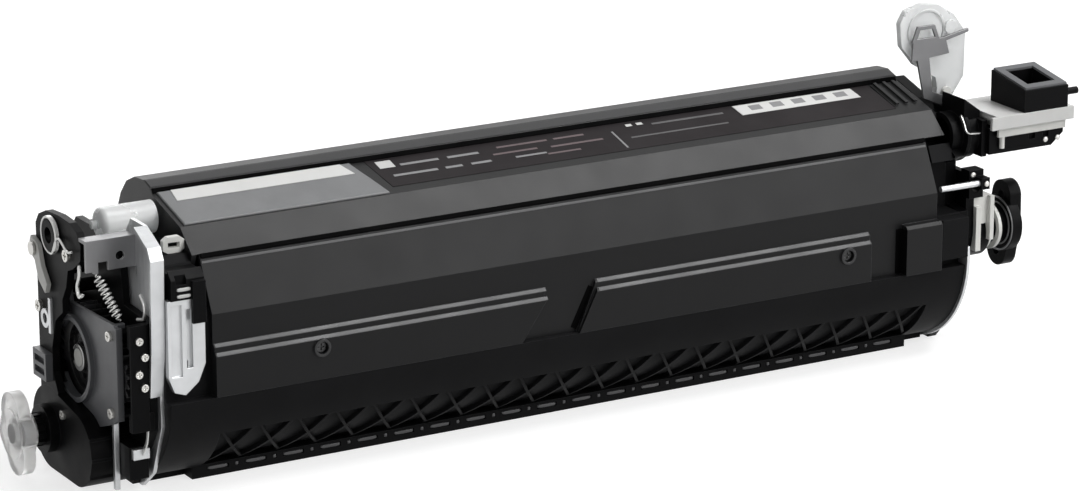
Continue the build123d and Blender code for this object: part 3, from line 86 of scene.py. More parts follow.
@dataclass(frozen=True)
class Finish:
    """A procedural surface: base colour, gloss, grain and lighter edges, part wear and part painted highlight.

    The colour is base * (1 - variation * patches), mixed towards `edge` by the edge mask, a lighter colour that is
    part wear and part painted highlight. The mask goes from zero to one as the dot product of the true normal and the
    normal rounded over `round_mm` falls from FLAT to SHARP.
    """

    FLAT, SHARP = 0.995, 0.8
    BEVEL_RAYS = 4
    PATCH_MM, PATCH_DETAIL, GRAIN_DETAIL = 18.0, 4.0, 1.0
    TONE_SPAN, WEAR_SPAN = (0.35, 0.65), (0.3, 0.7)     # noise values between which tone, and edge wear with painted highlight and gloss, change
    LEAST_WEAR_AND_SHEEN = 0.3                                    # share of edge_amount where the patches have the least edge wear and painted highlight
    BUMP_STRENGTH = 0.6
    SCATTER, SCATTER_MM, MILKY_IOR = 0.5, 2.0, 1.4

    name: str
    colour: Point
    ground: Ground = Ground.MOULDED
    rough: float = 0.45
    rough_spread: float = 0.08
    grain_mm: float = 0.25
    grain_depth: float = 0.04
    variation: float = 0.12
    edge: Point = (0.2, 0.2, 0.2)
    edge_amount: float = 0.5
    round_mm: float = 0.35
    metallic: float = 0.0
    specular: float = 0.5
    see_through: float = 0.0
    stretch: Point = (1.0, 1.0, 1.0)

    def build(self) -> bpy.types.Material:
        """Makes the material.

        Returns:
            The new material, with a node tree that reads only Object coordinates.
        """
        material = bpy.data.materials.new(self.name)
        material.use_nodes = True
        tree = material.node_tree
        tree.nodes.clear()
        out = tree.nodes.new("ShaderNodeOutputMaterial")
        shader = tree.nodes.new("ShaderNodeBsdfPrincipled")
        shader.inputs["Metallic"].default_value = self.metallic
        shader.inputs["Specular IOR Level"].default_value = self.specular
        tree.links.new(shader.outputs[0], out.inputs["Surface"])
        place = self._mapped(tree)
        self._dress(tree, shader, place)
        if self.ground is Ground.MILKY:
            for key, value in (("Transmission Weight", self.see_through), ("Subsurface Weight", self.SCATTER),
                               ("Subsurface Radius", (1.0, 1.0, 1.0)), ("Subsurface Scale", self.SCATTER_MM * MM),
                               ("IOR", self.MILKY_IOR)):
                shader.inputs[key].default_value = value
        return material

    def _mapped(self, tree: bpy.types.NodeTree) -> bpy.types.NodeSocket:
        """Object coordinates, stretched along the grain.

        Args:
            tree: The material's nodes.

        Returns:
            The mapped vector output.
        """
        where = tree.nodes.new("ShaderNodeTexCoord")
        scale = tree.nodes.new("ShaderNodeMapping")
        scale.inputs["Scale"].default_value = self.stretch
        tree.links.new(where.outputs["Object"], scale.inputs["Vector"])
        return scale.outputs["Vector"]

    def _noise(self, tree: bpy.types.NodeTree, place: bpy.types.NodeSocket, size_mm: float,
               detail: float) -> bpy.types.NodeSocket:
        """Soft noise with features of about one size.

        Args:
            tree: The material's nodes.
            place: Vector that the noise reads.
            size_mm: Size of a feature in millimetres.
            detail: Octaves.

        Returns:
            The noise value, 0 to 1.
        """
        noise = tree.nodes.new("ShaderNodeTexNoise")
        noise.inputs["Scale"].default_value = 1.0 / (size_mm * MM)
        noise.inputs["Detail"].default_value = detail
        tree.links.new(place, noise.inputs["Vector"])
        return noise.outputs["Fac"]

    def _ranged(self, tree: bpy.types.NodeTree, value: bpy.types.NodeSocket, span: Pair,
                out: Pair = (0.0, 1.0)) -> bpy.types.NodeSocket:
        """A value moved from one range to another, clamped.

        Args:
            tree: The material's nodes.
            value: Input value.
            span: Inputs at the two ends.
            out: Outputs at the two ends.

        Returns:
            The new value.
        """
        ranged = tree.nodes.new("ShaderNodeMapRange")
        for key, number in zip(("From Min", "From Max", "To Min", "To Max"), (*span, *out)):
            ranged.inputs[key].default_value = number
        tree.links.new(value, ranged.inputs["Value"])
        return ranged.outputs["Result"]

    def _edge_mask(self, tree: bpy.types.NodeTree) -> tuple[bpy.types.NodeSocket, bpy.types.NodeSocket]:
        """Where the surface bends sharply.

        Args:
            tree: The material's nodes.

        Returns:
            The mask, 0 on flats to 1 on edges, and the rounded normal.
        """
        bevel = tree.nodes.new("ShaderNodeBevel")
        bevel.samples = self.BEVEL_RAYS
        bevel.inputs["Radius"].default_value = self.round_mm * MM
        here = tree.nodes.new("ShaderNodeNewGeometry")
        dot = tree.nodes.new("ShaderNodeVectorMath")
        dot.operation = "DOT_PRODUCT"
        tree.links.new(bevel.outputs["Normal"], dot.inputs[0])
        tree.links.new(here.outputs["Normal"], dot.inputs[1])
        return self._ranged(tree, dot.outputs["Value"], (self.FLAT, self.SHARP)), bevel.outputs["Normal"]

    def _dress(self, tree: bpy.types.NodeTree, shader: bpy.types.Node, place: bpy.types.NodeSocket) -> None:
        """Links colour, roughness and bump to the shader.

        Args:
            tree: The material's nodes.
            shader: The Principled shader.
            place: Mapped coordinates.
        """
        mask, rounded = self._edge_mask(tree)
        patches = self._noise(tree, place, self.PATCH_MM, self.PATCH_DETAIL)
        fine = self._noise(tree, place, self.grain_mm, self.GRAIN_DETAIL)
        tone = tree.nodes.new("ShaderNodeMix")
        tone.data_type = "RGBA"
        tone.inputs["A"].default_value = (*self.colour, 1)
        tone.inputs["B"].default_value = (*(c * (1 - self.variation) for c in self.colour), 1)
        tree.links.new(self._ranged(tree, patches, self.TONE_SPAN), tone.inputs["Factor"])
        # mixes the colour towards `edge` on edges: part wear, part painted highlight
        worn_and_sheen = tree.nodes.new("ShaderNodeMix")
        worn_and_sheen.data_type = "RGBA"
        worn_and_sheen.inputs["B"].default_value = (*self.edge, 1)
        tree.links.new(tone.outputs["Result"], worn_and_sheen.inputs["A"])
        scuff_and_sheen = tree.nodes.new("ShaderNodeMath")
        scuff_and_sheen.operation = "MULTIPLY"
        tree.links.new(mask, scuff_and_sheen.inputs[0])
        wear_and_sheen = (self.LEAST_WEAR_AND_SHEEN * self.edge_amount, self.edge_amount)
        tree.links.new(self._ranged(tree, patches, self.WEAR_SPAN, wear_and_sheen), scuff_and_sheen.inputs[1])
        tree.links.new(scuff_and_sheen.outputs["Value"], worn_and_sheen.inputs["Factor"])
        tree.links.new(worn_and_sheen.outputs["Result"], shader.inputs["Base Color"])
        gloss = (self.rough - self.rough_spread, self.rough + self.rough_spread)
        tree.links.new(self._ranged(tree, patches, self.WEAR_SPAN, gloss), shader.inputs["Roughness"])
        bump = tree.nodes.new("ShaderNodeBump")
        bump.inputs["Strength"].default_value = self.BUMP_STRENGTH
        bump.inputs["Distance"].default_value = self.grain_depth * MM
        tree.links.new(fine, bump.inputs["Height"])
        tree.links.new(rounded, bump.inputs["Normal"])
        tree.links.new(bump.outputs["Normal"], shader.inputs["Normal"])


class Palette:
    """Every finish of the cartridge, built once and found by name."""

    FINISHES = (
        Finish("black_plastic", (0.003, 0.003, 0.0033), rough=0.42, specular=0.055, edge=(0.12, 0.12, 0.125),
               edge_amount=0.35),
        Finish("trough_plastic", (0.0095, 0.0095, 0.01), rough=0.5, specular=0.04, edge=(0.06, 0.06, 0.063),
               edge_amount=0.25, rough_spread=0.04),
        # black for the roof's real joint, and painted shade on the roof's step and on and beside the pads
        Finish("joint_and_painted_shade_black", (0.0015, 0.0015, 0.0016), rough=0.7, specular=0.02, edge_amount=0.0),
        # painted highlight: light strips laid on the front cover's lip and ledge edges where they catch the light
        Finish("painted_highlight_edge", (0.08, 0.08, 0.082), rough=0.4, specular=0.25, edge=(0.2, 0.2, 0.2), edge_amount=0.2,
               round_mm=0.1),
        # painted sheen: a lighter band on the roof's crown, and painted highlight rings round the screw bosses
        Finish("painted_sheen_band", (0.032, 0.032, 0.033), rough=0.4, specular=0.25, edge=(0.15, 0.15, 0.15), edge_amount=0.3,
               rough_spread=0.03),
        Finish("pale_tray", (0.6, 0.6, 0.59), rough=0.4, specular=0.4, edge=(0.8, 0.8, 0.78), variation=0.12),
        Finish("dark_screw", (0.045, 0.045, 0.046), rough=0.38, metallic=0.3, edge=(0.3, 0.3, 0.3), edge_amount=0.6),
        Finish("cover_plastic", (0.0078, 0.0078, 0.0082), rough=0.4, specular=0.15, edge=(0.2, 0.2, 0.21),
               edge_amount=0.4, rough_spread=0.03),
        Finish("roof_plastic", (0.0065, 0.0065, 0.0068), rough=0.38, specular=0.18, edge=(0.2, 0.2, 0.21),
               edge_amount=0.4, rough_spread=0.03),
        Finish("panel_plastic", (0.075, 0.077, 0.083), rough=0.42, edge=(0.3, 0.3, 0.31), edge_amount=0.4),
        Finish("gear_plastic", (0.014, 0.014, 0.015), rough=0.3, specular=0.4, edge=(0.15, 0.15, 0.15),
               edge_amount=0.5),
        Finish("grey_plate", (0.17, 0.173, 0.177), rough=0.42, specular=0.3, edge=(0.6, 0.6, 0.6), edge_amount=0.6),
        Finish("label_stock", (0.6, 0.6, 0.59), Ground.PRINTED, rough=0.5, variation=0.05, grain_depth=0.01,
               edge=(0.55, 0.55, 0.53), edge_amount=0.3, round_mm=0.15),
        Finish("data_label", (0.011, 0.0085, 0.0095), Ground.PRINTED, rough=0.42, specular=0.08, variation=0.1,
               grain_depth=0.01, edge=(0.05, 0.05, 0.05), edge_amount=0.2, round_mm=0.1),
        Finish("zinc_sheet", (0.62, 0.63, 0.64), Ground.SHEET, rough=0.34, metallic=0.85, grain_mm=0.12,
               edge=(0.85, 0.85, 0.85), stretch=(1.0, 6.0, 1.0), variation=0.18),
        Finish("screw_metal", (0.62, 0.61, 0.58), Ground.SHEET, rough=0.28, metallic=0.9, edge=(0.9, 0.9, 0.88)),
        Finish("blasted_sleeve", (0.42, 0.43, 0.44), Ground.BLASTED, rough=0.55, metallic=0.8, grain_mm=0.18,
               grain_depth=0.08),
        Finish("sintered_magnet", (0.05, 0.05, 0.052), rough=0.6),
        Finish("felt", (0.62, 0.6, 0.55), Ground.PRINTED, rough=0.9, grain_mm=0.5, grain_depth=0.3),
        Finish("natural_nylon", (0.7, 0.7, 0.67), rough=0.42, edge=(0.85, 0.85, 0.83)),
        Finish("milky_plastic", (0.86, 0.87, 0.87), Ground.MILKY, rough=0.3, see_through=0.35, variation=0.05,
               edge=(0.95, 0.95, 0.95), specular=0.5),
        Finish("milky_wheel", (0.97, 0.965, 0.955), Ground.MILKY, rough=0.35, see_through=0.74, variation=0.05,
               edge=(0.98, 0.98, 0.98), specular=0.4),
        Finish("bush_plastic", (0.6, 0.6, 0.56), rough=0.45),
        Finish("rail_inlay", (0.1, 0.1, 0.103), rough=0.35, specular=0.4, edge=(0.3, 0.3, 0.3), edge_amount=0.5,
               round_mm=0.2),
        Finish("spring_steel", (0.55, 0.55, 0.54), Ground.SHEET, rough=0.3, metallic=0.85, edge=(0.9, 0.9, 0.88),
               round_mm=0.1),
        Finish("dark_steel", (0.2, 0.2, 0.205), Ground.SHEET, rough=0.36, metallic=0.6, edge=(0.7, 0.7, 0.7)),
        Finish("field_white", (0.55, 0.55, 0.54), Ground.PRINTED, rough=0.4, variation=0.06, grain_depth=0.005,
               edge_amount=0.1, round_mm=0.05),
        Finish("field_grey", (0.2, 0.2, 0.205), Ground.PRINTED, rough=0.4, variation=0.06, grain_depth=0.005,
               edge_amount=0.1, round_mm=0.05),
        Finish("field_grey_dark", (0.055, 0.053, 0.055), Ground.PRINTED, rough=0.4, grain_depth=0.005,
               edge_amount=0.1, round_mm=0.05),
        Finish("field_rose", (0.085, 0.055, 0.06), Ground.PRINTED, rough=0.4, grain_depth=0.005, edge_amount=0.1,
               round_mm=0.05),
        Finish("foam_gasket", (0.1, 0.103, 0.108), rough=0.75, grain_mm=0.6, grain_depth=0.2),
    )

    def __init__(self) -> None:
        """Builds all materials."""
        self.made = {finish.name: finish.build() for finish in self.FINISHES}

    def __getitem__(self, name: str) -> bpy.types.Material:
        """The material of that name."""
        return self.made[name]


NODE_FINISH = {
    "black_plastic": ("rear_cover", "inner_lid", "gear_carrier", "drum_cover", "upright_plate",
                      "clip_block", "right_end_plate", "right_frame", "auger_coupling", "inlet_neck", "inlet_rail",
                      "inlet_chute", "shaft_collar"),
    "trough_plastic": ("lower_housing",),
    "cover_plastic": ("front_cover",),
    "roof_plastic": ("top_cover",),
    "panel_plastic": ("gear_panel", "connector_box"),
    "gear_plastic": ("roller_gear", "rear_gear", "front_gear", "idler_gear"),
    "grey_plate": ("grey_plate",),
    "label_stock": ("white_labels",),
    "data_label": ("data_label",),
    "zinc_sheet": ("doctor_blade", "blade_bar", "left_end_plate", "ground_strip", "ground_bracket",
                   "tension_spring", "contact_ring", "contact_spring", "right_arc_strip", "frame_rod"),
    "pale_tray": ("inlet_tray",),
    "dark_steel": ("wire_clip", "tie_bar"),
    "dark_screw": ("cover_screws",),
    "screw_metal": ("blade_screws", "front_screws", "latch_pin"),
    "blasted_sleeve": ("roller_sleeve",),
    "sintered_magnet": ("magnet_core",),
    "felt": ("end_seals",),
    "natural_nylon": ("front_auger", "rear_auger", "oval_clip", "latch_lever", "bearing_bracket",
                      "coupling_rings", "shutter", "lever_post"),
    "milky_wheel": ("drive_coupling",),
    "milky_plastic": ("filler_plug", "side_tab", "shutter_lever"),
    "bush_plastic": ("left_bushes", "right_bushes"),
    "foam_gasket": ("inlet_seal",),
}


# Surfaces worked out as grids


def grid_piece(name: str, points: np.ndarray) -> bpy.types.Object:
    """Makes one closed smooth object from one or more grids of points.

    Formula: corner (i, j) of a grid joins (i + 1, j), (i + 1, j + 1) and (i, j + 1), and j runs round the grid.
    A row whose points fall together closes an end, and is welded to one point.

    Args:
        name: Name of the object.
        points: Millimetres, as (rows, columns, 3), or (grids, rows, columns, 3) for a shape that is repeated.

    Returns:
        The object, at the origin.
    """
    grids = points.reshape(-1, *points.shape[-3:])
    count, rows, columns, _ = grids.shape
    i, j = np.meshgrid(np.arange(rows - 1), np.arange(columns), indexing="ij")
    k = (j + 1) % columns
    quads = np.stack([i * columns + j, (i + 1) * columns + j, (i + 1) * columns + k, i * columns + k], axis=-1)
    quads = quads.reshape(1, -1, 4) + (np.arange(count) * rows * columns)[:, None, None]
    mesh = bpy.data.meshes.new(name)
    mesh.from_pydata((grids.reshape(-1, 3) * MM).tolist(), [], quads.reshape(-1, 4).tolist())
    work = bmesh.new()
    work.from_mesh(mesh)
    bmesh.ops.remove_doubles(work, verts=work.verts, dist=WELD)
    bmesh.ops.recalc_face_normals(work, faces=work.faces)
    work.to_mesh(mesh)
    work.free()
    mesh.polygons.foreach_set("use_smooth", np.ones(len(mesh.polygons), dtype=bool))
    mesh.set_sharp_from_angle(angle=math.radians(SHARP_DEG))
    piece = bpy.data.objects.new(name, mesh)
    bpy.context.scene.collection.objects.link(piece)
    return piece


def unit(vectors: np.ndarray) -> np.ndarray:
    """Vectors of length one in the same directions."""
    return vectors / np.linalg.norm(vectors, axis=-1, keepdims=True)


def smooth_path(corners: Sequence[Point], steps: int = 8) -> np.ndarray:
    """A smooth line through a few points.

    Formula: between points b and c, with a before and d after, half of
    2b + (c - a) t + (2a - 5b + 4c - d) t squared + (3b - a - 3c + d) t cubed, for t from 0 to 1.

    Args:
        corners: Points in millimetres.
        steps: Stretches between two neighbours.

    Returns:
        The line's points, (n, 3).
    """
    known = np.array(corners, dtype=float)
    ends = np.vstack([2 * known[0] - known[1], known, 2 * known[-1] - known[-2]])
    a, b, c, d = (ends[k:len(ends) - 3 + k, None, :] for k in range(4))
    t = (np.arange(steps) / steps)[None, :, None]
    line = 0.5 * (2 * b + (c - a) * t + (2 * a - 5 * b + 4 * c - d) * t ** 2 + (3 * b - a - 3 * c + d) * t ** 3)
    return np.vstack([line.reshape(-1, 3), known[-1:]])


def swept(path: np.ndarray, profile: np.ndarray, up: Point) -> np.ndarray:
    """A profile carried along a path, closed at both ends.

    Formula: each ring is the path's point plus the profile's first number times the direction sideways (tangent
    crossed with up) plus its second times the direction square to both.

    Args:
        path: The line, (n, 3).
        profile: The outline, (k, 2).
        up: A direction that the path never runs along.

    Returns:
        Grid of points, (n + 2, k, 3).
    """
    tangent = unit(np.gradient(path, axis=0))
    side = unit(np.cross(tangent, up))
    lift = np.cross(side, tangent)
    rings = path[:, None] + profile[None, :, :1] * side[:, None] + profile[None, :, 1:] * lift[:, None]
    cap = np.ones((1, len(profile), 1))
    return np.concatenate([path[:1, None] * cap, rings, path[-1:, None] * cap])


def round_profile(radius: float, sides: int = 10) -> np.ndarray:
    """A circle as (k, 2): radius times the cosine and the sine of equal turns."""
    turn = np.linspace(0, 2 * np.pi, sides, endpoint=False)
    return radius * np.stack([np.cos(turn), np.sin(turn)], axis=-1)


def flat_profile(width: float, thickness: float, sides: int = 16) -> np.ndarray:
    """A rounded bar as (k, 2).

    Formula: half the width and half the thickness times the cosine and the sine, each kept in sign and raised to
    the power of one third.

    Args:
        width: Size sideways.
        thickness: Size upwards.
        sides: Points.

    Returns:
        The outline.
    """
    turn = np.linspace(0, 2 * np.pi, sides, endpoint=False)
    wave = np.stack([np.cos(turn), np.sin(turn)], axis=-1)
    return np.array([width / 2, thickness / 2]) * np.sign(wave) * np.abs(wave) ** (1 / 3)


def pillows(centres: np.ndarray, half_across: float, half_up: float, height: float, power: float = 5.0,
            sides: int = 24) -> np.ndarray:
    """Low pads with rounded corners on a face that looks to the front, one on each centre.

    Formula: at a turn, the outline lies where the cosine and the sine, each raised to the power, add up to one.
    Going up, its size follows `shrink` and its height `rise`.

    Args:
        centres: Feet of the pads, (n, 3).
        half_across: Half length, along the part.
        half_up: Half width, upwards.
        height: Height over the face.
        power: 2 for an oval, more for a squarer outline.
        sides: Points round the outline.

    Returns:
        Grids of points, (n, 7, sides, 3).
    """
    turn = np.linspace(0, 2 * np.pi, sides, endpoint=False)
    cosine, sine = np.cos(turn), np.sin(turn)
    radius = (np.abs(cosine) ** power + np.abs(sine) ** power) ** (-1 / power)
    shrink = np.array([0.0, 1.0, 1.0, 0.96, 0.88, 0.7, 0.0])[:, None, None]
    rise = np.array([0.0, 0.0, 0.5, 0.82, 0.95, 1.0, 1.0])[:, None, None] * height
    flat = (half_across * radius * cosine)[:, None] * RIGHT + (half_up * radius * sine)[:, None] * UP
    return centres[:, None, None, :] + shrink * flat + rise * np.array(FRONT)


def strip(start: Sequence[float], end: Sequence[float], facing: Point, width: float,
          thickness: float = 0.3, steps: int = 24) -> np.ndarray:
    """A thin rounded bar between two points.

    Formula: a rounded bar's outline carried along the straight line, its thickness towards `facing`.

    Args:
        start: First point.
        end: Last point.
        facing: Direction that the bar faces.
        width: Width square to both.
        thickness: Its thickness.
        steps: Stretches.

    Returns:
        Grid of points, (steps + 3, 16, 3).
    """
    share = np.linspace(0, 1, steps + 1)[:, None]
    return swept(np.array(start) * (1 - share) + np.array(end) * share, flat_profile(width, thickness), facing)


def turned(centre: Point, axis: Point, along: Sequence[float], radii: Sequence[float], sides: int = 20,
           aside: Point = (0.3, 0.2, 1.0)) -> np.ndarray:
    """A turned shape.

    Formula: each ring lies `along` the axis from the centre, at its radius times the cosine and sine of equal turns
    in the two directions square to the axis.

    Args:
        centre: Where along is zero.
        axis: Direction of the axis.
        along: Distances of the rings.
        radii: Radii of the rings; zero at both ends closes the shape.
        sides: Points round.
        aside: A direction that the axis doesn't run along.

    Returns:
        Grid of points, (rings, sides, 3).
    """
    line = unit(np.array(axis))
    first = unit(np.cross(line, aside))
    second = np.cross(line, first)
    turn = np.linspace(0, 2 * np.pi, sides, endpoint=False)[:, None]
    circle = np.cos(turn) * first + np.sin(turn) * second
    return np.array(centre) + np.array(along)[:, None, None] * line + np.array(radii)[:, None, None] * circle


def arc_path(centre: Point, first: Point, second: Point, radius: float, turns: Pair, steps: int,
             drift: Point = (0.0, 0.0, 0.0)) -> np.ndarray:
    """Part of a circle, or a coil where it drifts.

    Formula: centre plus radius times the cosine of the turn along first and its sine along second, plus the share of
    the way done times drift.

    Args:
        centre: Centre at the start.
        first: Direction at turn zero.
        second: Direction at a quarter turn.
        radius: Radius.
        turns: First and last turn, degrees.
        steps: Stretches.
        drift: How far the centre moves from start to end.

    Returns:
        The line's points, (steps + 1, 3).
    """
    share = np.linspace(0, 1, steps + 1)[:, None]
    turn = np.radians(turns[0] + (turns[1] - turns[0]) * share)
    return (np.array(centre) + radius * (np.cos(turn) * np.array(first) + np.sin(turn) * np.array(second))
            + share * np.array(drift))


@dataclass
class Maker:
    """Puts pieces on their bodies and gives them their finish."""

    palette: Palette

    def place(self, name: str, points: np.ndarray, finish: str, slot: str, body: str = "housing",
              instead_of: Sequence[str] = ()) -> None:
        """Makes a piece, dresses it and lets it ride.

        Args:
            name: Name of the piece.
            points: Its grids.
            finish: Finish by name.
            slot: Not used.
            body: Body that it moves with.
            instead_of: CAD nodes that it stands for.
        """
        piece = grid_piece(name, points)
        piece.data.materials.append(self.palette[finish])
        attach(piece, body)
        if instead_of:
            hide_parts(*instead_of)
        log.info("%s: %d faces on %s", name, len(piece.data.polygons), body)


# Sub-assemblies, sizes in millimetres


@dataclass
class BottomRail:
    """Lighter dashes and pips along the rail under the truss."""

    pitch: float = 16.2
    count: int = 20
    face_y: float = -19.8
    middle_z: float = 3.275
    dash_half: Pair = (4.3, 0.7)
    pip_half: Pair = (0.7, 0.7)
    height: float = 1.1

    def build(self, maker: Maker) -> None:
        """Lays a dash in every long slot and a pip in every small one.

        Args:
            maker: Puts the pieces in place.
        """
        places = (np.arange(self.count) - (self.count - 1) / 2) * self.pitch
        for name, x, half in (("rail_dashes", places, self.dash_half),
                              ("rail_pips", places[1:] - self.pitch / 2, self.pip_half)):
            feet = np.stack([x, np.full_like(x, self.face_y), np.full_like(x, self.middle_z)], axis=-1)
            maker.place(name, pillows(feet, *half, self.height), "rail_inlay", "black")


@dataclass
class DeckLabels:
    """The raised plate, the labels and their plain colour fields on the sloping face; nothing is written on them."""

    # piece, finish and rows of the dark label; a row is first X, last X, first run and last run up the slope
    FIELDS = (
        ("label_square", "field_white", ((-73.2, -66.4, 18.6, 24.0),)),
        ("label_divider", "field_grey", ((32.0, 32.9, 6.6, 20.0),)),
        ("label_marks", "field_white", ((40.6, 43.4, 21.9, 23.7), (45.6, 48.4, 21.9, 23.7))),
        ("label_bars", "field_grey", ((-64.0, -47.0, 18.8, 20.3), (-43.0, -29.0, 18.8, 20.3),
                                      (-70.5, -51.0, 11.6, 13.1), (-47.5, -40.0, 11.6, 13.1),
                                      (-36.0, -27.0, 11.6, 13.1), (-16.0, -2.0, 11.6, 12.8))),
        ("label_rose_bars", "field_rose", ((-20.0, 3.0, 20.6, 21.8), (6.0, 20.0, 20.6, 21.8), (2.0, 26.0, 15.2, 16.4),
                                           (-24.0, -4.0, 15.8, 17.0), (-2.0, 13.0, 10.4, 11.5))),
        ("label_long_bars", "field_grey_dark", ((52.0, 86.0, 20.6, 21.9), (38.0, 84.0, 13.0, 14.0))),
    )

    brow: Pair = (-22.0, 101.5)
    step: Pair = (3.0, 108.2)
    plate: tuple[Pair, ...] = ((-166.0, 0.4), (-78.5, 0.4), (-83.6, 25.3), (-166.0, 25.3))
    plate_t: float = 0.9
    left_white: tuple[Pair, ...] = ((-161.5, 16.8), (-85.5, 16.8), (-88.0, 24.9), (-160.5, 24.9))
    right_white: tuple[Pair, ...] = ((93.0, 17.2), (151.0, 17.2), (150.4, 24.9), (92.4, 24.9))
    white_t: float = 0.25
    dark: tuple[Pair, ...] = ((-74.8, 4.8), (160.5, 4.8), (159.8, 25.7), (-77.0, 25.7))
    dark_t: float = 0.16
    field_t: float = 0.06
    blocks_x: float = 99.0
    blocks: int = 5
    block_pitch: float = 10.4
    block_w: float = 5.6
    block_runs: Pair = (19.6, 23.4)
    side_steps: int = 8
    edge_rise: float = 0.6
    edge_in: float = 0.4

    def _slope(self) -> tuple[np.ndarray, np.ndarray]:
        """The direction up the slope and the face's normal."""
        slope = unit(np.array([0.0, self.step[0] - self.brow[0], self.step[1] - self.brow[1]]))
        return slope, np.cross(RIGHT, slope)

    def _spot(self, x: np.ndarray, run: np.ndarray, lift: float) -> np.ndarray:
        """Places on the sloping face.

        Formula: from its front edge, x along the part plus run times the slope's direction plus lift times its
        normal.

        Args:
            x: Places along the part.
            run: Distances up the slope.
            lift: Height over the face.

        Returns:
            Points, (n, 3).
        """
        slope, normal = self._slope()
        start = np.array([0.0, *self.brow])
        return start + x[:, None] * RIGHT + run[:, None] * slope + lift * normal

    def _sheet(self, corners: Sequence[Pair], lift: float, thickness: float) -> np.ndarray:
        """A flat sheet with a thin slanted edge.

        Formula: each side is divided evenly; the rings are the middle, the outline, the outline raised by
        `edge_rise` of the thickness, the outline drawn in by `edge_in` of it, and the middle.

        Args:
            corners: Its corners as x and run.
            lift: Height of its underside over the face.
            thickness: Its thickness.

        Returns:
            Grid of points, (5, sides, 3).
        """
        ring = np.array(corners)
        share = np.linspace(0, 1, self.side_steps, endpoint=False)[None, :, None]
        ring = (ring[:, None] * (1 - share) + np.roll(ring, -1, axis=0)[:, None] * share).reshape(-1, 2)
        middle = np.broadcast_to(ring.mean(axis=0), ring.shape)
        inner = ring - np.sign(ring - middle) * thickness * self.edge_in
        levels = ((middle, 0.0), (ring, 0.0), (ring, self.edge_rise), (inner, 1.0), (middle, 1.0))
        return np.stack([self._spot(flat[:, 0], flat[:, 1], lift + rise * thickness) for flat, rise in levels])

    def _fields(self, maker: Maker, name: str, rows: Sequence[Sequence[float]], lift: float,
                finish: str, slot: str = "data_label") -> None:
        """Plain fields, each from one x to another and from one run to another.

        Args:
            maker: Puts the piece in place.
            name: Name of the piece.
            rows: First x, last x, first run and last run of each.
            lift: Height of what they lie on.
            finish: Finish by name.
            slot: Passed on to the maker.
        """
        sheets = [self._sheet(((x0, r0), (x1, r0), (x1, r1), (x0, r1)), lift, self.field_t) for x0, x1, r0, r1 in rows]
        maker.place(name, np.array(sheets), finish, slot)

    def build(self, maker: Maker) -> None:
        """Lays the plate, the labels and the fields.

        Args:
            maker: Puts the pieces in place.
        """
        maker.place("grey_plate_sheet", self._sheet(self.plate, 0.0, self.plate_t), "grey_plate", "grey_plate",
                    instead_of=["grey_plate"])
        whites = np.array([self._sheet(self.left_white, self.plate_t, self.white_t),
                           self._sheet(self.right_white, self.dark_t, self.white_t)])
        maker.place("white_label_sheets", whites, "label_stock", "label", instead_of=["white_labels"])
        maker.place("dark_label_sheet", self._sheet(self.dark, 0.0, self.dark_t), "data_label", "data_label",
                    instead_of=["data_label"])
        for name, finish, rows in self.FIELDS:
            self._fields(maker, name, rows, self.dark_t, finish)
        blocks = [(x, x + self.block_w, *self.block_runs)
                  for x in self.blocks_x + np.arange(self.blocks) * self.block_pitch]
        self._fields(maker, "white_label_fields", blocks, self.dark_t + self.white_t, "field_grey", "label")


@dataclass
class JointAndPaintedLightLines:
    """The roof's black joint, painted shade on the roof's step and a painted sheen on its crown, and painted
    highlights on the front cover's lip and ledge edges.
    """

    cover: Pair = (-164.6, 164.6)
    roof: Pair = (-167.4, 174.4)
    pads: tuple[Pair, ...] = ((-164.6, -21.4), (2.0, 130.6))
    joint: Edge = ((-32.35, 92.35), (-0.76, 0.65), 1.9)
    step: Edge = ((3.5, 109.1), (-0.85, 0.53), 2.1)
    crown: Edge = ((7.2, 111.1), (-0.31, 0.95), 5.2)
    lip: Edge = ((-33.25, 90.0), (-0.9, 0.44), 1.0)
    ledges: tuple[Edge, ...] = (((-42.9, 59.8), (-1.0, 1.0), 1.65), ((-44.4, 56.6), (-1.0, 1.0), 1.65))

    def _bar(self, ends: Pair, place: Pair, outward: Pair, width: float) -> np.ndarray:
        """A strip along the part from one X to another, its middle and its direction given as Y and Z."""
        return strip((ends[0], *place), (ends[1], *place), (0.0, *outward), width)

    def build(self, maker: Maker) -> None:
        """Lays the joint, the roof's step and crown, the lip and the four ledge edges.

        Args:
            maker: Puts the pieces in place.
        """
        # roof_step is painted shade, roof_crown a painted sheen and cover_lip a painted highlight
        for name, ends, edge, finish in (("roof_joint", self.cover, self.joint, "joint_and_painted_shade_black"),
                                         ("roof_step", self.roof, self.step, "joint_and_painted_shade_black"),
                                         ("roof_crown", self.roof, self.crown, "painted_sheen_band"),
                                         ("cover_lip", self.cover, self.lip, "painted_highlight_edge")):
            maker.place(name, self._bar(ends, *edge), finish, "cover")
        # painted highlights along the top edges of the pads' two ledges
        edges = [self._bar(ends, *ledge) for ends in self.pads for ledge in self.ledges]
        maker.place("ledge_edges", np.array(edges), "painted_highlight_edge", "cover")


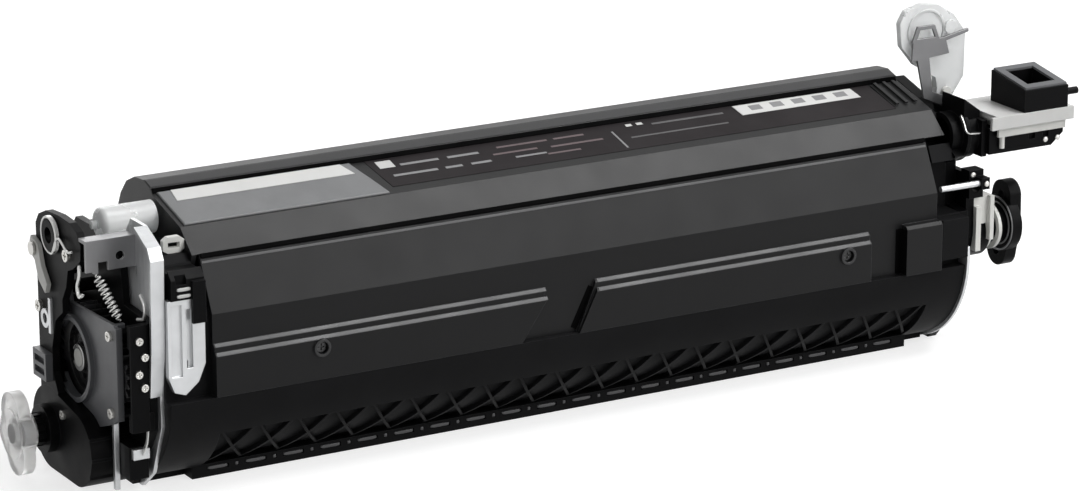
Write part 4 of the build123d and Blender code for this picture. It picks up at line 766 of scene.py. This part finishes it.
@dataclass
class PadSides:
    """Painted shade on and beside the front cover's pads, and painted highlight rings round its screw bosses."""

    cover_face: float = -42.05
    third_side: float = 147.4
    third_middle: float = -44.1
    third_z: Pair = (40.6, 59.4)
    wall_w: float = 4.2
    painted_shadow_w: float = 2.6
    painted_shadow_away: float = 1.35
    slant: tuple[Pair, Pair] = ((-7.0, 41.0), (1.0, 57.0))
    slant_w: float = 2.8
    bosses: tuple[Pair, ...] = ((-120.7, 52.7), (119.3, 52.7))
    boss_face: float = -45.85
    boss_r: float = 3.0
    boss_steps: int = 48
    boss_rim: Pair = (1.0, 0.3)

    def build(self, maker: Maker) -> None:
        """Lays the painted shade and the painted highlight rings.

        Formula: straight flat bars along the pads' sides, and circles with a flat profile round the screws.

        Args:
            maker: Puts the pieces in place.
        """
        low, high = self.third_z
        wall_x, painted_shadow_x = self.third_side, self.third_side - self.painted_shadow_away
        # black sheets: painted shade on the third pad's left wall, painted shadow beside it and along the right pad's
        # slanted end
        wall = strip((wall_x, self.third_middle, low), (wall_x, self.third_middle, high), LEFT, self.wall_w)
        painted_shadow = strip((painted_shadow_x, self.cover_face, low), (painted_shadow_x, self.cover_face, high), FRONT, self.painted_shadow_w)
        foot, head = (np.array([x, self.cover_face, z]) for x, z in self.slant)
        aside = unit(np.cross(head - foot, BACK)) * self.slant_w / 2
        slanted = strip(foot + aside, head + aside, FRONT, self.slant_w)
        maker.place("pad_painted_shade", np.array([wall, painted_shadow, slanted]), "joint_and_painted_shade_black", "cover")
        # lighter rings round the screw bosses: painted highlight
        rims = [swept(arc_path((x, self.boss_face, z), RIGHT, UP, self.boss_r, FULL_TURN, self.boss_steps),
                      flat_profile(*self.boss_rim), FRONT) for x, z in self.bosses]
        maker.place("boss_rim_highlights", np.array(rims), "painted_sheen_band", "cover")


@dataclass
class GearShroud:
    """Curved guard behind the rear auger's gear, standing on the carrier."""

    centre: Pair = (5.0, 47.43)
    radius: float = 22.8
    wall: float = 1.0
    x0: float = -202.6
    x1: float = -188.4
    turns: Pair = (-43.0, 54.0)
    steps: int = 48

    def build(self, maker: Maker) -> None:
        """Makes the guard.

        Formula: a part of a circle round the gear's shaft, with a flat profile from the carrier to the outer plate.

        Args:
            maker: Puts the piece in place.
        """
        path = arc_path(((self.x0 + self.x1) / 2, *self.centre), BACK, UP, self.radius, self.turns, self.steps)
        maker.place("gear_shroud", swept(path, flat_profile(self.wall, self.x1 - self.x0), RIGHT), "black_plastic",
                    "black")


@dataclass
class LeftEndWires:
    """Springs, hooks and the retaining ring of the gear end, and the marks on its clip block."""

    clip_marks: Point = (-177.2, -43.5, 84.2)
    mark_step: float = 2.6
    mark_half: Pair = (2.8, 0.65)
    mark_height: float = 0.5
    wire_sides: int = 8
    spring_top: Point = (-201.5, -19.0, 87.2)
    spring_foot: Point = (-196.5, -28.5, 70.7)
    spring_r: float = 1.75
    spring_wire: float = 0.36
    spring_turns: int = 11
    spring_turn_points: int = 14
    spring_ease: float = 0.125
    spring_end: float = 0.1
    plate_face: float = -206.0
    boss: Pair = (10.0, 96.0)
    torsion_r: float = 7.0
    torsion_wire: float = 0.55
    torsion_turns: Pair = (60.0, 960.0)
    torsion_steps: int = 90
    torsion_drift: Point = (-1.3, 0.0, 0.0)
    torsion_leg: tuple[Pair, ...] = ((-9.0, 1.0), (-17.0, -2.0), (-22.0, -1.0))
    hook_away: float = 1.5
    hook_line: tuple[Pair, ...] = ((-10.0, 90.0), (-10.4, 85.0), (-8.2, 80.0), (-9.6, 76.4), (-12.4, 77.6))
    hook_wire: float = 0.75
    guard_line: tuple[Point, ...] = ((-189.2, -31.0, 80.5), (-189.2, -34.5, 77.0), (-189.2, -33.6, 72.0),
                                     (-190.4, -30.5, 70.9))
    guard_wire: float = 0.7
    lead_line: tuple[Point, ...] = ((-191.0, -33.1, 18.5), (-190.2, -35.6, 24.0), (-189.9, -36.4, 31.0))
    lead_section: Pair = (1.6, 0.5)
    rear_shaft: Point = (-199.1, 5.0, 47.43)
    ring_r: float = 4.4
    ring_turns: Pair = (30.0, 330.0)
    ring_steps: int = 40
    ring_section: Pair = (1.7, 0.6)

    def _clip_marks(self, maker: Maker) -> None:
        """Two pale ribs on the clip block's front.

        Formula: two low pads with rounded corners, one over the other.

        Args:
            maker: Puts the piece in place.
        """
        x, y, z = self.clip_marks
        feet = np.array([(x, y, z), (x, y, z - self.mark_step)])
        maker.place("clip_marks", pillows(feet, *self.mark_half, self.mark_height), "pale_tray", "black")

    def _tension_spring(self, maker: Maker) -> None:
        """A coiled spring with its ends drawn in to the hooks.

        Formula: along the line between the hooks, plus the coil's radius times a cosine and a sine in the two
        directions square to it; the radius eases in from `spring_end` of itself over `spring_ease` of the way.

        Args:
            maker: Puts the piece in place.
        """
        top, foot = np.array(self.spring_top), np.array(self.spring_foot)
        line = unit(foot - top)
        first = unit(np.cross(line, RIGHT))
        second = np.cross(line, first)
        share = np.linspace(0, 1, self.spring_turns * self.spring_turn_points)[:, None]
        ease = np.clip(np.minimum(share, 1 - share) / self.spring_ease, self.spring_end, 1)
        turn = 2 * np.pi * self.spring_turns * share
        path = top + share * (foot - top) + self.spring_r * ease * (np.cos(turn) * first + np.sin(turn) * second)
        maker.place("tension_coil", swept(path, round_profile(self.spring_wire, self.wire_sides), tuple(line)),
                    "spring_steel", "steel", instead_of=["tension_spring"])

    def _torsion_spring(self, maker: Maker) -> None:
        """A flat coil round the plate's boss with a leg down to the plate's front edge.

        Formula: a coil of two and a half turns that drifts outwards, carried on by a smooth line.

        Args:
            maker: Puts the piece in place.
        """
        y, z = self.boss
        coil = arc_path((self.plate_face - self.torsion_wire, y, z), BACK, UP, self.torsion_r, self.torsion_turns,
                        self.torsion_steps, self.torsion_drift)
        leg = smooth_path([tuple(coil[-1]), *((coil[-1][0], y + dy, z + dz) for dy, dz in self.torsion_leg)])
        path = np.vstack([coil[:-1], leg])
        maker.place("torsion_coil", swept(path, round_profile(self.torsion_wire, self.wire_sides), RIGHT),
                    "spring_steel", "steel")

    def _hooks(self, maker: Maker) -> None:
        """Bent wires that stand in the gear space.

        Formula: smooth lines through a few points, two with a round profile and the lead with a flat one.

        Args:
            maker: Puts the pieces in place.
        """
        hook = [(self.plate_face + self.hook_away, *spot) for spot in self.hook_line]
        for name, line, profile in (("plate_hook", hook, round_profile(self.hook_wire)),
                                    ("guard_hook", self.guard_line, round_profile(self.guard_wire)),
                                    ("contact_lead", self.lead_line, flat_profile(*self.lead_section))):
            maker.place(name, swept(smooth_path(line), profile, RIGHT), "spring_steel", "steel")

    def _shaft_ring(self, maker: Maker) -> None:
        """An open retaining ring on the rear auger's shaft.

        Formula: three hundred degrees of a circle with a flat profile.

        Args:
            maker: Puts the piece in place.
        """
        ring = arc_path(self.rear_shaft, BACK, UP, self.ring_r, self.ring_turns, self.ring_steps)
        maker.place("shaft_ring", swept(ring, flat_profile(*self.ring_section), RIGHT), "spring_steel", "steel",
                    "rear_auger_body")

    def build(self, maker: Maker) -> None:
        """Makes the marks and every wire of the gear end.

        Args:
            maker: Puts the pieces in place.
        """
        self._clip_marks(maker)
        self._tension_spring(maker)
        self._torsion_spring(maker)
        self._hooks(maker)
        self._shaft_ring(maker)


@dataclass
class InletEnd:
    """Small fittings of the inlet end.

    They are the studs on rail and frame, the lever's moulded rim, a bent clip on the neck and the beads on the
    eared coupling.
    """

    stud_x: Pair = (220.4, 226.6)
    stud_z: float = 86.9
    rail_face: float = -40.0
    seat_stud: Point = (188.5, -43.6, 73.0)
    frame_stud: Point = (184.8, -39.0, 76.2)
    stud_r: float = 1.15
    stud_along: tuple[float, ...] = (-0.2, 0.0, 0.5, 0.85, 0.95)
    stud_shape: tuple[float, ...] = (0.0, 1.0, 1.0, 0.6, 0.0)
    circle_steps: int = 64
    rim_centre: Point = (178.2, -12.6, 132.4)
    rim_r: float = 8.8
    rim_section: Pair = (1.3, 0.9)
    clip_line: tuple[Point, ...] = ((182.4, -32.5, 100.2), (182.3, -34.9, 97.4), (182.5, -36.3, 94.6),
                                    (184.2, -36.5, 93.4), (187.5, -36.5, 93.1), (190.6, -36.5, 92.9))
    clip_section: Pair = (0.6, 1.5)
    ear_face: Point = (207.9, -24.97, 48.73)
    bead_r: Pair = (8.9, 11.3)
    bead_section: Pair = (0.7, 0.8)

    def build(self, maker: Maker) -> None:
        """Makes the studs, the rim, the clip and the beads.

        Formula: turned studs, circles and a smooth line with flat profiles.

        Args:
            maker: Puts the pieces in place.
        """
        places = [(x, self.rail_face, self.stud_z) for x in self.stud_x] + [self.seat_stud, self.frame_stud]
        radii = self.stud_r * np.array(self.stud_shape)
        studs = [turned(place, FRONT, self.stud_along, radii) for place in places]
        maker.place("rail_studs", np.array(studs), "screw_metal", "screws")
        rim = arc_path(self.rim_centre, RIGHT, UP, self.rim_r, FULL_TURN, self.circle_steps)
        maker.place("lever_rim", swept(rim, flat_profile(*self.rim_section), BACK), "milky_plastic", "clear",
                    "flag_body")
        clip = smooth_path(self.clip_line)
        maker.place("neck_clip", swept(clip, flat_profile(*self.clip_section), FRONT), "spring_steel", "steel")
        beads = [swept(arc_path(self.ear_face, BACK, UP, radius, FULL_TURN, self.circle_steps),
                       flat_profile(*self.bead_section), RIGHT) for radius in self.bead_r]
        maker.place("coupling_beads", np.array(beads), "dark_steel", "black", "front_auger_body")


# The stage


@dataclass(frozen=True)
class Lamp:
    """One square soft lamp, in metres and watts."""

    name: str
    place: Point
    size: float
    watts: float
    aim: Point = (0.0, 0.0, 0.08)

    def hang(self) -> None:
        """Puts the lamp in its place, turned towards its aim."""
        data = bpy.data.lights.new(self.name, "AREA")
        data.size = self.size
        data.energy = self.watts
        lamp = bpy.data.objects.new(self.name, data)
        lamp.location = self.place
        lamp.rotation_euler = (Vector(self.aim) - Vector(self.place)).to_track_quat("-Z", "Y").to_euler()
        bpy.context.scene.collection.objects.link(lamp)


@dataclass
class Studio:
    """Plain pale floor, white surroundings, soft lamps and the camera at the photograph's angle."""

    camera_place: Point = (-0.83065, -1.44023, 0.56233)
    camera_turn_deg: Point = (73.294, 0.0, -30.0)
    lens_mm: float = 144.328
    sensor_mm: float = 36.0
    lamps: tuple[Lamp, ...] = (
        Lamp("key", (1.06, -1.63, 1.05), 1.3, 24.0),
        Lamp("overhead", (0.95, -0.42, 1.7), 1.0, 31.0),
        Lamp("left_end", (-1.7, -0.9, 0.9), 0.7, 4.5, (-0.2, 0.0, 0.06)),
        Lamp("behind", (0.2, 1.9, 1.1), 1.0, 13.0),
    )
    sky_tone: float = 0.5
    sky_strength: float = 0.24
    floor_half: float = 6.0
    floor_z: float = -0.0002
    floor_tone: float = 0.4
    floor_rough: float = 0.9
    floor_glow: float = 0.72

    def build(self) -> None:
        """Makes the camera, lamps, world and floor."""
        self._camera()
        for lamp in self.lamps:
            lamp.hang()
        self._world()
        self._floor()
        bpy.context.scene.view_settings.view_transform = "Standard"

    def _camera(self) -> None:
        """The camera, as fitted to the photograph's straight edges."""
        data = bpy.data.cameras.new("camera")
        data.sensor_fit = "HORIZONTAL"
        data.sensor_width = self.sensor_mm
        data.lens = self.lens_mm
        camera = bpy.data.objects.new("camera", data)
        camera.location = self.camera_place
        camera.rotation_euler = Euler([math.radians(a) for a in self.camera_turn_deg])
        bpy.context.scene.collection.objects.link(camera)
        bpy.context.scene.camera = camera

    def _world(self) -> None:
        """A grey sky for light and a white one for the camera."""
        world = bpy.data.worlds.new("world")
        world.use_nodes = True
        tree = world.node_tree
        tree.nodes.clear()
        out = tree.nodes.new("ShaderNodeOutputWorld")
        sky = tree.nodes.new("ShaderNodeBackground")
        sky.inputs["Color"].default_value = (self.sky_tone, self.sky_tone, self.sky_tone, 1)
        sky.inputs["Strength"].default_value = self.sky_strength
        white = tree.nodes.new("ShaderNodeBackground")
        white.inputs["Color"].default_value = (1, 1, 1, 1)
        mix = tree.nodes.new("ShaderNodeMixShader")
        tree.links.new(self._seen(tree), mix.inputs["Fac"])
        tree.links.new(sky.outputs[0], mix.inputs[1])
        tree.links.new(white.outputs[0], mix.inputs[2])
        tree.links.new(mix.outputs[0], out.inputs["Surface"])
        bpy.context.scene.world = world

    def _seen(self, tree: bpy.types.NodeTree) -> bpy.types.NodeSocket:
        """One where a ray comes from the camera, a gloss or a clear piece, else zero.

        Args:
            tree: The nodes that the value is used in.

        Returns:
            The value.
        """
        path = tree.nodes.new("ShaderNodeLightPath")
        total = path.outputs["Is Camera Ray"]
        for name in ("Is Glossy Ray", "Is Transmission Ray"):
            more = tree.nodes.new("ShaderNodeMath")
            more.operation = "MAXIMUM"
            tree.links.new(total, more.inputs[0])
            tree.links.new(path.outputs[name], more.inputs[1])
            total = more.outputs[0]
        return total

    def _floor(self) -> None:
        """A white floor just under the part, which shows white to the camera and keeps the shadow."""
        half = self.floor_half
        mesh = bpy.data.meshes.new("floor")
        mesh.from_pydata([(-half, -half, 0), (half, -half, 0), (half, half, 0), (-half, half, 0)], [], [(0, 1, 2, 3)])
        floor = bpy.data.objects.new("floor", mesh)
        floor.location.z = self.floor_z
        bpy.context.scene.collection.objects.link(floor)
        material = bpy.data.materials.new("floor_white")
        material.use_nodes = True
        tree = material.node_tree
        shader = tree.nodes["Principled BSDF"]
        shader.inputs["Base Color"].default_value = (self.floor_tone, self.floor_tone, self.floor_tone, 1)
        shader.inputs["Roughness"].default_value = self.floor_rough
        shader.inputs["Emission Color"].default_value = (1, 1, 1, 1)
        glow = tree.nodes.new("ShaderNodeMath")
        glow.operation = "MULTIPLY"
        glow.inputs[1].default_value = self.floor_glow
        tree.links.new(self._seen(tree), glow.inputs[0])
        tree.links.new(glow.outputs[0], shader.inputs["Emission Strength"])
        mesh.materials.append(material)


# Dressing


def dress_nodes(frame: dict, palette: Palette) -> None:
    """Gives every CAD node its finish.

    Args:
        palette: The finishes.
    """
    for finish, names in NODE_FINISH.items():
        for name in names:
            node = frame["nodes"][name]
            node.data.materials.clear()
            node.data.materials.append(palette[finish])
            log.info("%s is finished in %s", name, finish)


def main() -> None:
    """Builds the cartridge's looks in order."""
    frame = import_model()
    palette = Palette()
    Studio().build()
    dress_nodes(frame, palette)
    maker = Maker(palette)
    for assembly in (BottomRail(), DeckLabels(), JointAndPaintedLightLines(), PadSides(), GearShroud(), LeftEndWires(), InletEnd()):
        log.info("building %s", type(assembly).__name__)
        assembly.build(maker)


if __name__ == "__main__":
    main()
